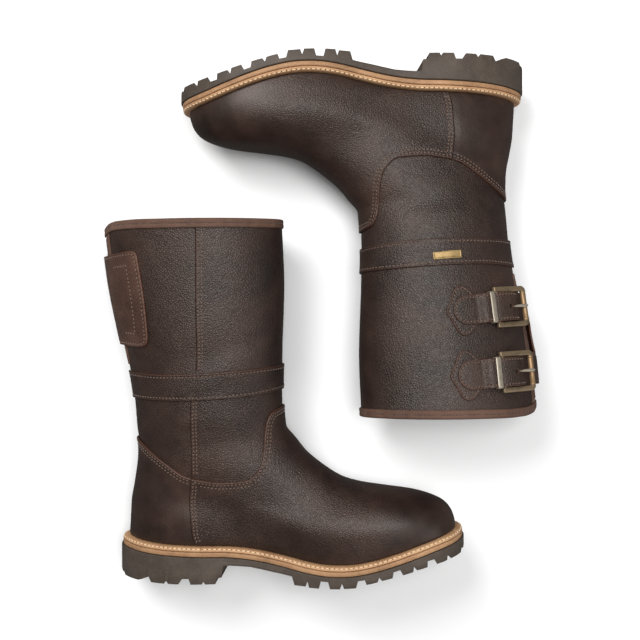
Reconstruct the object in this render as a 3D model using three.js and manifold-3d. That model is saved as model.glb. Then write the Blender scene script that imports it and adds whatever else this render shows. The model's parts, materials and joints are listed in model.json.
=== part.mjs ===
// A pair of pull-on riding boots with two buckle straps each, lying flat on their sides.
// The right boot is built once in its own frame: X toward the toe, Y toward the inner side
// of the foot, Z up the leg, millimetres. The left boot is its mirror image. In the scene
// (+Z up) the right boot points its toe to -X and its leg to -Y, the left one to +X and +Y.
import * as THREE from 'three';
import Module from 'manifold-3d';

const wasm = await Module();
wasm.setup();
const { Manifold, Mesh } = wasm;
const { clamp } = THREE.MathUtils;

// ---------------------------------------------------------------- driving sizes
const GAP = 0.3;               // air between neighbouring pieces
const LINING_T = 2.0;
const LEATHER_T = 1.9;         // shaft leather
const VAMP_T = 3.9;            // vamp level above the lining (leather and backing)
const ON_SHAFT = LEATHER_T + GAP; // level of pieces that lie on the shaft leather
const BAND_H = 7.6;            // midsole and welt together
const MIDSOLE_H = 4.05;        // top of the midsole above the rubber
const WELT_OUT = 5.4;          // welt shelf outside the upper
const WELT_IN = 3.0;           // welt reach under the upper
const RUBBER_OUT = 7.0;        // rubber outside the upper
const STRAP_W = 22;
const STRAP_T = 1.8;
const N_AROUND = 20;           // divisions round the leg

const MATERIALS = {
  rubber: { color: 0x4e463f, roughness: 0.9, metalness: 0 },
  midsole: { color: 0xa07c58, roughness: 0.8, metalness: 0 },
  steel: { color: 0x9a9a9a, roughness: 0.4, metalness: 1 },
  welt: { color: 0xbb9468, roughness: 0.75, metalness: 0 },
  board: { color: 0xb09a7a, roughness: 0.9, metalness: 0 },
  lining: { color: 0x5a4436, roughness: 0.9, metalness: 0 },
  footbed: { color: 0x6a5240, roughness: 0.9, metalness: 0 },
  shaft: { color: 0x3a2a22, roughness: 0.55, metalness: 0 },
  vamp: { color: 0x3a2a22, roughness: 0.45, metalness: 0 },
  counter: { color: 0x3a2a22, roughness: 0.5, metalness: 0 },
  gusset: { color: 0x2e211b, roughness: 0.8, metalness: 0 },
  chape: { color: 0x2e211b, roughness: 0.6, metalness: 0 },
  binding: { color: 0x6b4a3a, roughness: 0.7, metalness: 0 },
  strap: { color: 0x6b4a3a, roughness: 0.6, metalness: 0 },
  plate: { color: 0xb9975f, roughness: 0.35, metalness: 1 },
  brass: { color: 0xa08a66, roughness: 0.35, metalness: 1 },
  roller: { color: 0xb09469, roughness: 0.35, metalness: 1 },
  pewter: { color: 0x8f887b, roughness: 0.4, metalness: 1 },
};

// ---------------------------------------------------------------- shape tables
// back and front edge of the boot in the side view (X, Z), one point per station from
// the welt to the collar
const BACK = [
  [3.09, 40.16], [3.5, 43.79], [4.13, 51.42], [4.66, 58.58], [5.18, 65.73], [5.89, 72.87],
  [7.31, 80.02], [8.72, 86.71], [10.35, 95.16], [11.64, 104.92], [12.33, 115.53],
  [12.15, 126.99], [11.7, 142.8], [10.3, 163.81], [6.5, 189.97], [0.6, 219.48],
  [-5.49, 252.3], [-9.17, 281.51], [-10.93, 298.62], [-10.59, 311.83]];
const FRONT = [
  [285.07, 52.28], [283.73, 59.89], [280.08, 68.02], [272.5, 74.52], [256.92, 79.66],
  [234.95, 82.29], [211.17, 85.17], [190.71, 90.81], [171.92, 102.92], [155.7, 117.44],
  [144.62, 130.31], [139.91, 141.51], [138.51, 156.18], [138.2, 176.83], [138.71, 200.83],
  [140.02, 228.1], [140.74, 256.92], [140.14, 282.2], [139.45, 297.32], [139.0, 311.13]];
// how fully each station follows the curve of the welt's top
const SAG = [
  1, .94, .86, .76, .62, .48, .34, .23, .14, .07, .03, 0, 0, 0, 0, 0, 0, 0, 0, 0];
const LAST = BACK.length - 1;
// top of the rubber along the foot
const RUBBER_X = [
  -10, 1, 21, 43.5, 73, 96, 121, 140.7, 160, 179.5, 198, 217, 235, 253, 271.5, 289, 300, 306];
const RUBBER_Z = [
  32.6, 32.6, 31.9, 31.5, 31.2, 30.9, 28.6, 25.3, 22, 20.7, 22.1, 26.2, 31.6, 37.4, 42.6,
  45.2, 46.4, 47];
// half widths of each side: rows are stations, columns are shares of the way from the back
// edge to the front edge
const COLS = [0, .05, .12, .2, .35, .5, .62, .72, .82, .9, .96, 1];
const ROWS = [0, 1.5, 3, 6, 9, 12, 16, 19];
const LEG_ROWS = [
  [37, 37, 37, 38, 39, 39.5, 39.8, 40, 40.5, 41.5, 42.5, 43],
  [39, 39, 39.5, 40.5, 41.5, 42, 42, 42, 41.5, 41, 41, 41],
  [46, 46, 46.5, 47, 47.5, 48, 48, 48, 48, 47.5, 47, 47],
  [50, 50, 50, 50, 50.5, 51, 51, 51, 51, 50.5, 50, 50]];
const INNER = [
  [43, 43.6, 42.5, 38.6, 29.8, 31, 40.2, 48, 54.5, 60.8, 67.5, 70],
  [46, 46.2, 45, 41, 32.5, 34.5, 43, 50, 56.5, 62, 66, 67],
  [46, 46, 45.5, 42, 34, 36.5, 44.5, 51, 56.5, 60, 59, 58],
  [44, 43, 42, 39, 35.2, 35.5, 36.5, 38.5, 41.5, 44.5, 47, 48],
  ...LEG_ROWS];
const OUTER = [
  [43, 43.6, 42.8, 40.2, 34.2, 36.5, 43.6, 49, 53, 54.2, 52.5, 50],
  [46, 46.2, 45.2, 42.4, 36.5, 39.5, 46, 51, 54.5, 55.5, 53, 51],
  [46, 46, 45.5, 43, 37, 40, 46, 51, 54, 53, 50, 48],
  [44, 43, 42, 40, 37, 37.5, 38.5, 40, 42, 44, 45.5, 46],
  ...LEG_ROWS];
// lines on the leather, side view (X, Z)
const LOW_LINE = [              // top edge of vamp and counter
  [-30, 131], [5, 128.3], [14.8, 125.1], [28.7, 117], [44, 108], [57.4, 100], [66.2, 97],
  [75.2, 95.8], [88.3, 94.5], [100.9, 95.3], [113.7, 97], [118.2, 100], [123.8, 107.4],
  [126.3, 118], [127, 130.5], [128.2, 143.5], [131.4, 150.4], [136.2, 152.8],
  [141, 154.5], [170, 158], [330, 158]];
const COUNTER_SEAM = [
  [66.4, 110], [66.3, 96.7], [63.9, 77], [64.8, 64.7], [66.3, 46.5], [68.9, 38.3],
  [70.5, 25]];
const SIDE_SEAM = [
  [76.9, 325], [76.7, 304], [75.4, 246], [74.1, 188.5], [69.3, 162.8], [66.4, 99],
  [65.8, 70]];
const BAND_LOW = [
  [-25, 160.5], [10, 161], [16.8, 161.6], [57.2, 163.3], [86.5, 164.5], [121.9, 166.5],
  [137.5, 168.1], [165, 169.5]];
const BAND_TOP = [
  [-25, 184.4], [14.7, 184.3], [42, 184.4], [73, 186], [108, 188], [126.6, 188.8],
  [137.5, 188.9], [165, 189.5]];
const RIM = [
  [-40, 283], [-15, 291], [-11.6, 297], [-9, 302], [-6, 305.6], [-2, 308], [4, 309.6],
  [14, 310.4], [50, 310.9], [137, 311.2], [330, 311.4]];
const TAB = [                   // strap panel on the inner side
  [-30, 279.4], [-11, 280.8], [8, 283.8], [23.2, 285.1], [26, 283.6], [27.1, 280.2],
  [28.7, 269.7], [31.3, 251], [32.7, 235.4], [33.5, 219.7], [33.2, 212.5], [31.8, 208.7],
  [27.8, 207], [6, 206.9], [-8, 207.6], [-30, 208]];
const PLATE = [[62.4, 173.7], [85.5, 175.2], [84.8, 182.1], [62.1, 180.3]];
const TOE_LINE = [[228, 20], [224, 45], [222, 60], [226, 75], [232, 90]];
// rear slit (height, half width)
const SLIT = [[124, 0], [129, 2.2], [150, 3.4], [200, 7.5], [260, 12], [300, 14.5], [325, 15.5]];

// ---------------------------------------------------------------- interpolation
// smooth curve through (xs, ys), held level beyond both ends
function hermite(xs, ys, at) {
  const last = xs.length - 1;
  const x = Math.min(Math.max(at, xs[0]), xs[last]);
  let i = 0;
  while (i < last - 1 && x >= xs[i + 1]) i++;
  const slope = (j) => (ys[j + 1] - ys[j]) / (xs[j + 1] - xs[j]);
  const tangent = (j) => {
    if (j === 0) return slope(0);
    if (j === last) return slope(last - 1);
    const before = xs[j] - xs[j - 1];
    const after = xs[j + 1] - xs[j];
    return (slope(j - 1) * after + slope(j) * before) / (before + after);
  };
  const step = xs[i + 1] - xs[i];
  const t = (x - xs[i]) / step;
  const t2 = t * t;
  const t3 = t2 * t;
  return (2 * t3 - 3 * t2 + 1) * ys[i] + (t3 - 2 * t2 + t) * step * tangent(i)
    + (3 * t2 - 2 * t3) * ys[i + 1] + (t3 - t2) * step * tangent(i + 1);
}
const STATIONS = BACK.map((_, i) => i);
const column0 = (table) => table.map((p) => p[0]);
const column1 = (table) => table.map((p) => p[1]);
const BACK_X = column0(BACK);
const BACK_Z = column1(BACK);
const FRONT_X = column0(FRONT);
const FRONT_Z = column1(FRONT);
const rubberTop = (x) => hermite(RUBBER_X, RUBBER_Z, x);

// ---------------------------------------------------------------- the skin of the boot
// phi runs round the boot from the back edge (0) over the inner side to the front edge
// (pi) and back over the outer side; k runs up the stations
function skin(phi, k) {
  const share = (1 - Math.cos(phi)) / 2;
  const station = Math.min(Math.max(k, 0), LAST);
  const atStation = (values) => hermite(STATIONS, values, station);
  const backX = atStation(BACK_X);
  const backZ = atStation(BACK_Z);
  const weltX = BACK_X[0] + (FRONT_X[0] - BACK_X[0]) * share;
  const weltZ = BACK_Z[0] + (FRONT_Z[0] - BACK_Z[0]) * share;
  const x = backX + (atStation(FRONT_X) - backX) * share;
  let z = backZ + (atStation(FRONT_Z) - backZ) * share
    + (rubberTop(weltX) + BAND_H - weltZ) * atStation(SAG);
  const sine = Math.sin(phi);
  const widths = sine >= 0 ? INNER : OUTER;
  const row = COLS.map((_, c) => hermite(ROWS, widths.map((r) => r[c]), station));
  const y = hermite(COLS, row, share) * sine;
  // straight run-outs below the welt and above the collar
  if (k < 0) z += 6 * k;
  if (k > LAST) z += 14 * (k - LAST);
  return new THREE.Vector3(x, y, z);
}

function skinNormal(phi, k) {
  const dPhi = 1e-3;
  const dK = 1e-2;
  const station = Math.min(Math.max(k, 0.02), LAST - 0.02);
  const around = skin(phi + dPhi, k).sub(skin(phi - dPhi, k));
  const upward = skin(phi, station + dK).sub(skin(phi, station - dK));
  return upward.cross(around).normalize();
}

// level of the lining's outside against the skin: vamp depth below, leather depth above
function levelZero(k) {
  const t = Math.min(Math.max((k - 10) / 2, 0), 1);
  return -VAMP_T + (VAMP_T - LEATHER_T) * (t * t * (3 - 2 * t));
}

// point at a level above the lining's outside; the level is a number or a function of phi
function layer(phi, k, level) {
  const rise = typeof level === 'function' ? level(phi) : level;
  return skin(phi, k).addScaledVector(skinNormal(phi, k), levelZero(k) + rise);
}

// skin coordinates of the point that matches target along two directions, by Newton steps
function locate(target, dirA, dirB, phiStart, kStart) {
  const e = 1e-3;
  let phi = phiStart;
  let k = kStart;
  for (let i = 0; i < 60; i++) {
    const here = skin(phi, k);
    const perPhi = skin(phi + e, k).sub(here).divideScalar(e);
    const perK = skin(phi, k + e).sub(here).divideScalar(e);
    const miss = target.clone().sub(here);
    const [phiA, phiB, kA, kB] = [perPhi.dot(dirA), perPhi.dot(dirB), perK.dot(dirA), perK.dot(dirB)];
    const [missA, missB] = [miss.dot(dirA), miss.dot(dirB)];
    const det = phiA * kB - kA * phiB;
    phi += clamp((missA * kB - kA * missB) / det, -0.1, 0.1);
    k += clamp((phiA * missB - phiB * missA) / det, -0.5, 0.5);
  }
  return [phi, k];
}

// ---------------------------------------------------------------- solids
function reverseWinding(triangles) {
  const turned = [];
  for (let i = 0; i < triangles.length; i += 3) {
    turned.push(triangles[i], triangles[i + 2], triangles[i + 1]);
  }
  return turned;
}

function solid(vertices, triangles) {
  const build = (triVerts) => {
    const mesh = new Mesh({
      numProp: 3,
      vertProperties: new Float32Array(vertices),
      triVerts: new Uint32Array(triVerts),
    });
    mesh.merge();
    return new Manifold(mesh);
  };
  const body = build(triangles);
  return body.volume() < 0 ? build(reverseWinding(triangles)) : body;
}

// closed body under one level; extra lengthens it at both ends
const RINGS = [-1, 0, 1.5, 3, 5, 7, 9, 10.5, 12, 14, 16.5, 18.9, 19.6];
function bodyAt(level, extra = 0) {
  const n = N_AROUND;
  const rings = RINGS.slice();
  const lastRing = rings.length - 1;
  rings[0] -= extra;
  rings[lastRing] += extra;
  const vertices = [];
  const triangles = [];
  for (const k of rings) {
    for (let i = 0; i < n; i++) vertices.push(...layer(2 * Math.PI * i / n, k, level));
  }
  for (let j = 0; j < lastRing; j++) {
    for (let i = 0; i < n; i++) {
      const a = j * n + i;
      const b = j * n + (i + 1) % n;
      triangles.push(a, a + n, b, b, a + n, b + n);
    }
  }
  // an end is closed by strips from the inner half of the ring to the outer half
  const cap = (start) => {
    const faces = [];
    for (let i = 0; i < n / 2; i++) {
      const a = start + i;
      const b = a + 1;
      const c = start + (n - i) % n;
      const d = start + n - i - 1;
      if (i > 0) faces.push(a, b, c);
      if (i < n / 2 - 1) faces.push(b, d, c);
    }
    return faces;
  };
  triangles.push(...cap(0), ...reverseWinding(cap(lastRing * n)));
  return solid(vertices, triangles);
}

// skin-following sheet between two levels; equal sheets are shared
const shellCache = new Map();
function shell(under, over) {
  const key = `${under}/${over}`;
  if (!shellCache.has(key)) {
    shellCache.set(key, bodyAt(over).subtract(bodyAt(under, 0.3)));
  }
  return shellCache.get(key);
}

// polygon swept from w0 to w1 along a third axis; place(p, w) gives XYZ
function prism(polygon, w0, w1, place) {
  const points = polygon.map((p) => new THREE.Vector2(p[0], p[1]));
  if (THREE.ShapeUtils.isClockWise(points)) points.reverse();
  const n = points.length;
  const vertices = [];
  const triangles = [];
  for (const w of [w0, w1]) {
    for (const p of points) vertices.push(...place([p.x, p.y], w));
  }
  for (const [a, b, c] of THREE.ShapeUtils.triangulateShape(points, [])) {
    triangles.push(a, c, b, n + a, n + b, n + c);
  }
  for (let i = 0; i < n; i++) {
    const j = (i + 1) % n;
    triangles.push(i, j, n + j, i, n + j, n + i);
  }
  return solid(vertices, triangles);
}
const sideView = (p, y) => [p[0], y, p[1]];
const planView = (p, z) => [p[0], p[1], z];
const rearView = (p, x) => [x, p[0], p[1]];
const side = (polygon, y0 = -90, y1 = 90) => prism(polygon, y0, y1, sideView);

// ---------------------------------------------------------------- polygons
const shift = (line, dx, dz) => line.map((p) => [p[0] + dx, p[1] + dz]);
// polygon between two lines that run the same way
const between = (one, other) => [...one, ...other.slice().reverse()];
const closedAt = (line, z) => [...line, [line[line.length - 1][0], z], [line[0][0], z]];
const above = (line) => side(closedAt(line, 400));
const below = (line) => side(closedAt(line, -50));
// move a line sideways by d (left of its direction)
function inset(line, d) {
  return line.map((p, i) => {
    const before = line[Math.max(i - 1, 0)];
    const after = line[Math.min(i + 1, line.length - 1)];
    const dx = after[0] - before[0];
    const dz = after[1] - before[1];
    const length = Math.hypot(dx, dz);
    return [p[0] - dz / length * d, p[1] + dx / length * d];
  });
}
const strip = (middle, thick) => between(inset(middle, thick / 2), inset(middle, -thick / 2));
function circle(x, y, radius, n) {
  const points = [];
  for (let i = 0; i < n; i++) {
    const angle = 2 * Math.PI * i / n;
    points.push([x + radius * Math.cos(angle), y + radius * Math.sin(angle)]);
  }
  return points;
}

// curves parallel to the top of the rubber, and the zones they bound
const FOOT_X = [
  -20, 0, 24, 50, 76, 98, 116, 132, 148, 162, 176, 190, 206, 224, 242, 260, 278, 296, 320];
const footCurve = (dz) => FOOT_X.map((x) => [x, rubberTop(x) + dz]);
const footLayer = (low, high) => side(between(footCurve(low), footCurve(high)));
function aboveWelt(d) {
  const [first, ...rest] = footCurve(BAND_H + d);
  return side([[-60, first[1]], ...rest, [320, 400], [-60, 400]]);
}

// upright column on the foot's plan outline, moved outward by d
function column(d, n = 30) {
  const e = 1e-3;
  const outline = [];
  for (let i = 0; i < n; i++) {
    const phi = 2 * Math.PI * i / n;
    const before = skin(phi - e, 0);
    const after = skin(phi + e, 0);
    const here = skin(phi, 0);
    const dx = after.x - before.x;
    const dy = after.y - before.y;
    const length = Math.hypot(dx, dy);
    outline.push([here.x - dy / length * d, here.y + dx / length * d]);
  }
  return prism(outline, -60, 120, planView);
}

// ---------------------------------------------------------------- sole unit
// lug profile along the foot (X, Z)
const TREAD = [
  [-4.2, 22], [-4.2, 12.3], [-1.6, 9.8], [1.6, 9.8], [2.8, 7.8], [17.5, 7.9], [22.5, 9.9],
  [27.8, 12.6], [30.2, 8.2], [42.1, 8.4], [44, 10.9], [45.8, 8.5], [54.7, 8.6],
  [57.4, 13.4], [63.4, 13.6], [65.1, 8.8], [74.4, 9], [75.7, 11.5], [77.3, 9],
  [85.6, 9.2], [87.3, 14.4], [90.6, 14.6], [92.4, 24.2], [98, 24.8], [114.5, 24],
  [133, 20.8], [146.6, 18.8], [150, 18.2], [152.1, 11.2], [161.5, 11.2], [163.1, 15.6],
  [164.5, 10.6], [172.7, 10.8], [174.4, 17], [180.3, 17.3], [181.9, 11.2], [190.1, 11.9],
  [191.8, 16.6], [193.4, 12.5], [203.2, 13.7], [204.8, 20], [210.1, 21], [211.7, 16.7],
  [220.5, 19.2], [221.7, 23], [224.1, 20.2], [232.5, 22.5], [233.3, 27.6], [238.5, 29],
  [240.8, 24.7], [248.8, 26.8], [249.6, 31.3], [252, 28], [260.4, 30], [260.6, 34.9],
  [265.8, 35.8], [268.2, 31.6], [276.5, 33], [277.1, 36.9], [279.8, 33.6], [288.6, 34.2],
  [289.6, 37.4], [290.8, 35.8], [293.4, 37.6], [294, 44]];
// smooth floor between the lugs (X, Z)
const FLOOR = [
  [-4.2, 22], [-1.5, 16], [10, 14.8], [27, 13.8], [87, 14.4], [90.6, 14.6], [92.4, 24.2],
  [98, 24.8], [114.5, 24], [133, 20.8], [146.6, 18.8], [160, 17.6], [176, 17.2],
  [192, 18.4], [208, 21], [222, 24.6], [236, 29], [250, 32.6], [263, 35.6], [277, 38],
  [290, 40.5], [294, 44]];
const SOLE_LID = [[306, 62], [-14, 62], [-14, 22]];
// separate bars in the middle of the tread (rear X, front X, rear Z, front Z)
const TREAD_BARS = [
  [34, 42, 8.4, 8.6], [50, 58, 8.7, 8.8], [67, 75, 9, 9.1], [156, 165, 11.3, 11.1],
  [174, 183, 11.3, 11.6], [192, 201, 12.7, 13.8], [210, 219, 16.4, 19],
  [228, 237, 21.6, 24], [246, 255, 26.3, 28.6]];
const LUG_REACH = 11;           // edge lugs, inward from the upper
const BAR_INSET = 15;           // ends of the middle bars, inward from the upper
const BAR_TAPER = 0.6;
const SHANK_X = [62, 72, 82, 95, 108, 120, 132, 144, 156, 164];
const SHANK_HALF_W = 7;
const SHANK_LOW = 1.6;          // shank faces below the top of the midsole
const SHANK_HIGH = 0.2;

function outsole() {
  const plan = column(RUBBER_OUT);
  const underMidsole = footLayer(-80, -GAP / 2);
  const rubber = (profile) =>
    side([...profile, ...SOLE_LID]).intersect(plan).intersect(underMidsole);
  const edgeLugs = rubber(TREAD).subtract(column(-LUG_REACH, 20));
  const bars = TREAD_BARS
    .map(([x0, x1, z0, z1]) => side([[x0, z0], [x1, z1], [x1 - BAR_TAPER, 60], [x0 + BAR_TAPER, 60]]))
    .reduce((sum, bar) => sum.add(bar))
    .intersect(column(-BAR_INSET, 20))
    .intersect(underMidsole);
  return rubber(FLOOR).add(edgeLugs).add(bars);
}

// block along the middle of the foot, between two heights above the rubber
function shankBlock(grow, low, high) {
  const last = SHANK_X.length - 1;
  const curve = (dz) => SHANK_X.map((x, i) => {
    const endGrow = i === 0 ? -grow : i === last ? grow : 0;
    return [x + endGrow, rubberTop(x) + dz];
  });
  return side(between(curve(low), curve(high)), -SHANK_HALF_W - grow, SHANK_HALF_W + grow);
}
const shank = () => shankBlock(0, MIDSOLE_H - SHANK_LOW, MIDSOLE_H - SHANK_HIGH);
const midsole = () => column(WELT_OUT + 0.2)
  .intersect(footLayer(GAP / 2, MIDSOLE_H))
  .subtract(shankBlock(GAP, MIDSOLE_H - SHANK_LOW - GAP, MIDSOLE_H + 2));
const welt = () => column(WELT_OUT)
  .subtract(column(-WELT_IN))
  .intersect(footLayer(MIDSOLE_H + GAP, BAND_H));
const insoleBoard = () => column(-WELT_IN - GAP).intersect(footLayer(MIDSOLE_H + GAP, BAND_H));

// ---------------------------------------------------------------- upper
const LAP = 10;                 // shaft's reach under the top edge of vamp and counter
const LEATHER_DROP = 1.6;       // top of shaft and lining below the rim
const BINDING_H = 7.6;
const BINDING_TOP_T = 1.3;
const BINDING_OUT_T = 1;
const BINDING_IN_T = 0.7;
const GUSSET_T = 1.2;
const GUSSET_DROP = 9;          // top of the gusset below the rim
const BAND_T = 1.1;             // ankle band
const PLATE_T = 1;

const belowRim = (drop) => below(shift(RIM, 0, -drop));
// rear slit as a cutter, grown sideways; the grown profile keeps clear of zero width
function slit(grow) {
  const half = SLIT.map(([z, halfWidth]) => [halfWidth + grow, z]).filter((p) => p[0] > 0.3);
  if (grow >= 0) half.unshift([0.35, SLIT[0][0] - grow]);
  return prism(between(half, half.map((p) => [-p[0], p[1]])), -60, 45, rearView);
}

function lining() {
  const outside = bodyAt(-GAP).intersect(aboveWelt(GAP));
  const inside = bodyAt(-GAP - LINING_T, 0.6).intersect(aboveWelt(GAP + 2.2));
  return outside.subtract(inside).intersect(belowRim(LEATHER_DROP));
}
const footbed = () => bodyAt(-GAP * 2 - LINING_T)
  .intersect(aboveWelt(GAP + 2.5))
  .intersect(footLayer(-60, BAND_H + GAP + 6.3));

// shaft: one main piece, and a rear piece on the inner side behind the side seam
const shaftShell = shell(0, LEATHER_T)
  .intersect(above(inset(LOW_LINE, -LAP)).intersect(belowRim(LEATHER_DROP)))
  .subtract(slit(0));
const behindSideSeam = (dx) => side([...shift(SIDE_SEAM, dx, 0), [-90, 70], [-90, 325]], 0, 90);
const shaftMain = () => shaftShell
  .subtract(behindSideSeam(0))
  .subtract(side([[-40, 100], [20, 100], [20, 330], [-40, 330]], 0, 90));
const shaftRearInner = () => shaftShell.intersect(behindSideSeam(-GAP));

// vamp and counter: full level, thinned where they lap over the shaft and stiffeners
const reliefIn = (zone) => shell(-0.6, ON_SHAFT).intersect(zone);
const footPieces = shell(0, VAMP_T)
  .intersect(below(LOW_LINE))
  .intersect(aboveWelt(GAP))
  .subtract(reliefIn(above(inset(LOW_LINE, -LAP - GAP))));
const behindCounterSeam = (dx) =>
  side([...shift(COUNTER_SEAM, dx, 0), [-90, 25], [-90, 110], [-30, 140]]);
const toeZone = (dx) => side([...shift(TOE_LINE, dx, 0), [330, 90], [330, 20]]);
const heelZone = (d) => side([
  [-40, 20], [-40, 113 + d], [5, 113 + d], [18, 110 + d], [34, 99 + d], [48, 88 + d],
  [56 + d, 76 + d], [58 + d, 60], [60 + d, 20]]);
const vamp = () => footPieces.subtract(behindCounterSeam(0)).subtract(reliefIn(toeZone(-GAP)));
const heelCounter = () => footPieces
  .intersect(behindCounterSeam(-GAP))
  .subtract(reliefIn(heelZone(GAP)));
const stiffener = (zone) => shell(GAP, LEATHER_T).intersect(zone).intersect(aboveWelt(GAP));

const rearGusset = () => shell(0, GUSSET_T)
  .intersect(slit(-0.4))
  .intersect(side([[-60, 134], [60, 134], [60, 400], [-60, 400]]))
  .intersect(belowRim(GUSSET_DROP));

// channel over the rim
function collarBinding() {
  const outside = bodyAt(ON_SHAFT + BINDING_OUT_T, 0.4)
    .subtract(bodyAt(-GAP * 2 - LINING_T - BINDING_IN_T, 0.8))
    .intersect(side(between(shift(RIM, 0, -BINDING_H), RIM)));
  const channel = bodyAt(ON_SHAFT, 0.4)
    .subtract(bodyAt(-GAP * 2 - LINING_T, 0.8))
    .intersect(belowRim(BINDING_TOP_T));
  return outside.subtract(channel).subtract(slit(0));
}
const ankleBand = () => shell(ON_SHAFT, ON_SHAFT + BAND_T)
  .intersect(side(between(BAND_LOW, BAND_TOP)))
  .subtract(slit(0));
function namePlate() {
  const base = LEATHER_T + GAP * 2 + BAND_T;
  return shell(base, base + PLATE_T).intersect(side(PLATE, -90, 0));
}

// ---------------------------------------------------------------- buckles
// heel bar place on the outer side (X, Z) and rise of the strap in degrees; spade centre
// and strap tip are measured toward the toe from the heel bar
const BUCKLES = [
  { name: 'lower', x: 33.4, z: 220.9, rise: 6, spade: 29.1, tip: 38 },
  { name: 'upper', x: 29.9, z: 273.8, rise: 4.5, spade: 30.2, tip: 38.5 }];
const BAR_LIFT = 4.6;           // bar centres above the skin at the heel bar
const HEEL_BAR_R = 1.5;
const ROLLER_BAR_R = 1.3;
const ROLLER_R = 2.3;
const ROLLER_BORE = 1.4;
const ROLLER_L = 24;
const ROLLER_U = -28;           // roller bar, behind the heel bar
const ARM_T = 14.6;             // arm centre from the strap centre
const ARM_HALF_W = 1.7;
const ARM_HALF_H = 1.9;
const ARM_END = 2.4;            // arm beyond each bar centre
const PRONG_HALF_W = 1.15;
const CHAPE_W = 24;             // neck of the leather patch that holds a buckle
const CHAPE_T = 1.3;
const FOLD_R = 2.45;            // middle of the chape round the heel bar
const KEEPER_U = 7.5;
const KEEPER_W = 4.8;
const KEEPER_LIFT = 7.3;        // centre of the keeper opening
const KEEPER_HALF_H = 1.45;     // half height of the opening
const HOLE_R = 1.3;
const HOLE_U = [20, 28];
// near edge of the spade (u from its centre, half width), then its point
const SPADE = [
  [-12.5, 12], [-9.5, 13.6], [-6.5, 17], [-2.5, 20], [2, 20.2], [5.5, 17], [8.5, 9.5]];
const SPADE_POINT = 12.6;
// middle of the strap over the heel bar and under the roller (u, w)
const STRAP_OVER_BUCKLE = [
  [13.5, 6.1], [10, 7.0], [4, 7.7], [2, 8.5], [-1, 9.15], [-6, 9.6], [-11, 9.6],
  [-15, 8.3], [-18.5, 5.6], [-22, 2.6], [-25.5, .7], [-29, -.6]];

// buckle frame, origin on the skin at the heel bar: u along the strap toward the toe,
// t across it up the leg, w out of the leather
function buckleFrame({ x, z, rise }) {
  const axisX = new THREE.Vector3(1, 0, 0);
  const axisZ = new THREE.Vector3(0, 0, 1);
  const [phi, k] = locate(new THREE.Vector3(x, 0, z), axisX, axisZ, -1.2, 15);
  const origin = skin(phi, k);
  const w = skinNormal(phi, k);
  const angle = rise * Math.PI / 180;
  const u = new THREE.Vector3(Math.cos(angle), 0, Math.sin(angle));
  u.addScaledVector(w, -u.dot(w)).normalize();
  const t = new THREE.Vector3().crossVectors(w, u);
  const at = (du, dt, dw) => origin.clone()
    .addScaledVector(u, du).addScaledVector(t, dt).addScaledVector(w, dw);
  return {
    origin, u, t, w,
    profile: (p, dt) => [...at(p[0], dt, p[1])],    // (u, w) swept along t
    face: (p, dw) => [...at(p[0], p[1], dw)],       // (u, t) swept along w
    section: (p, du) => [...at(du, p[0], p[1])],    // (t, w) swept along u
    // height of the skin on the strap's centre line
    leather: (du) => skin(...locate(at(du, 0, 0), u, t, phi, k)).sub(origin).dot(w),
  };
}

// round rod across the strap at bar height
const rod = (frame, u, radius, halfLength, n = 14) =>
  prism(circle(u, BAR_LIFT, radius, n), -halfLength, halfLength, frame.profile);

// leather patch with a spade end, and its fold round the heel bar
function chape(frame, spade) {
  const near = [[-5, -12], ...SPADE.map(([u, half]) => [spade + u, -half])];
  const far = near.map(([u, t]) => [u, -t]);
  const outline = between([...near, [spade + SPADE_POINT, 0]], far);
  const patch = shell(ON_SHAFT, ON_SHAFT + CHAPE_T)
    .intersect(prism(outline, -40, 20, frame.face));
  const onLeather = (u, lift) => [u, frame.leather(u) + lift];
  const roundBar = [];
  for (let i = 0; i <= 14; i++) {
    const angle = Math.PI * (1.5 - i / 14 * 1.7);
    roundBar.push([FOLD_R * Math.cos(angle), BAR_LIFT + FOLD_R * Math.sin(angle)]);
  }
  const fold = [
    onLeather(9, 0.95), onLeather(4, 1.05), ...roundBar,
    onLeather(5.5, 2.5), onLeather(9, 2.35), onLeather(13.5, 2.2), onLeather(17, 1.9)];
  const foldBody = prism(strip(fold, CHAPE_T), -CHAPE_W / 2, CHAPE_W / 2, frame.profile);
  const prongSlot = prism(
    [[-5, 1.75], [3.6, 1.75], [3.6, 12], [-5, 12]], -2.6, 2.6, frame.profile);
  return patch.add(foldBody).subtract(prongSlot);
}

function buckleBody(frame) {
  const rearEnd = ROLLER_U - ARM_END;
  const armProfile = shift([
    [rearEnd, -1.4], [rearEnd, 1.4], [ROLLER_U, ARM_HALF_H], [0, ARM_HALF_H],
    [ARM_END, 1.3], [ARM_END, -1.3], [0, -ARM_HALF_H], [ROLLER_U, -ARM_HALF_H]], 0, BAR_LIFT);
  const arm = (t) => prism(armProfile, t - ARM_HALF_W, t + ARM_HALF_W, frame.profile);
  return arm(ARM_T).add(arm(-ARM_T))
    .add(rod(frame, 0, HEEL_BAR_R, ARM_T))
    .add(rod(frame, ROLLER_U, ROLLER_BAR_R, ARM_T));
}
const roller = (frame) => rod(frame, ROLLER_U, ROLLER_R, ROLLER_L / 2, 20)
  .subtract(rod(frame, ROLLER_U, ROLLER_BORE, 20, 20));

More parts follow.
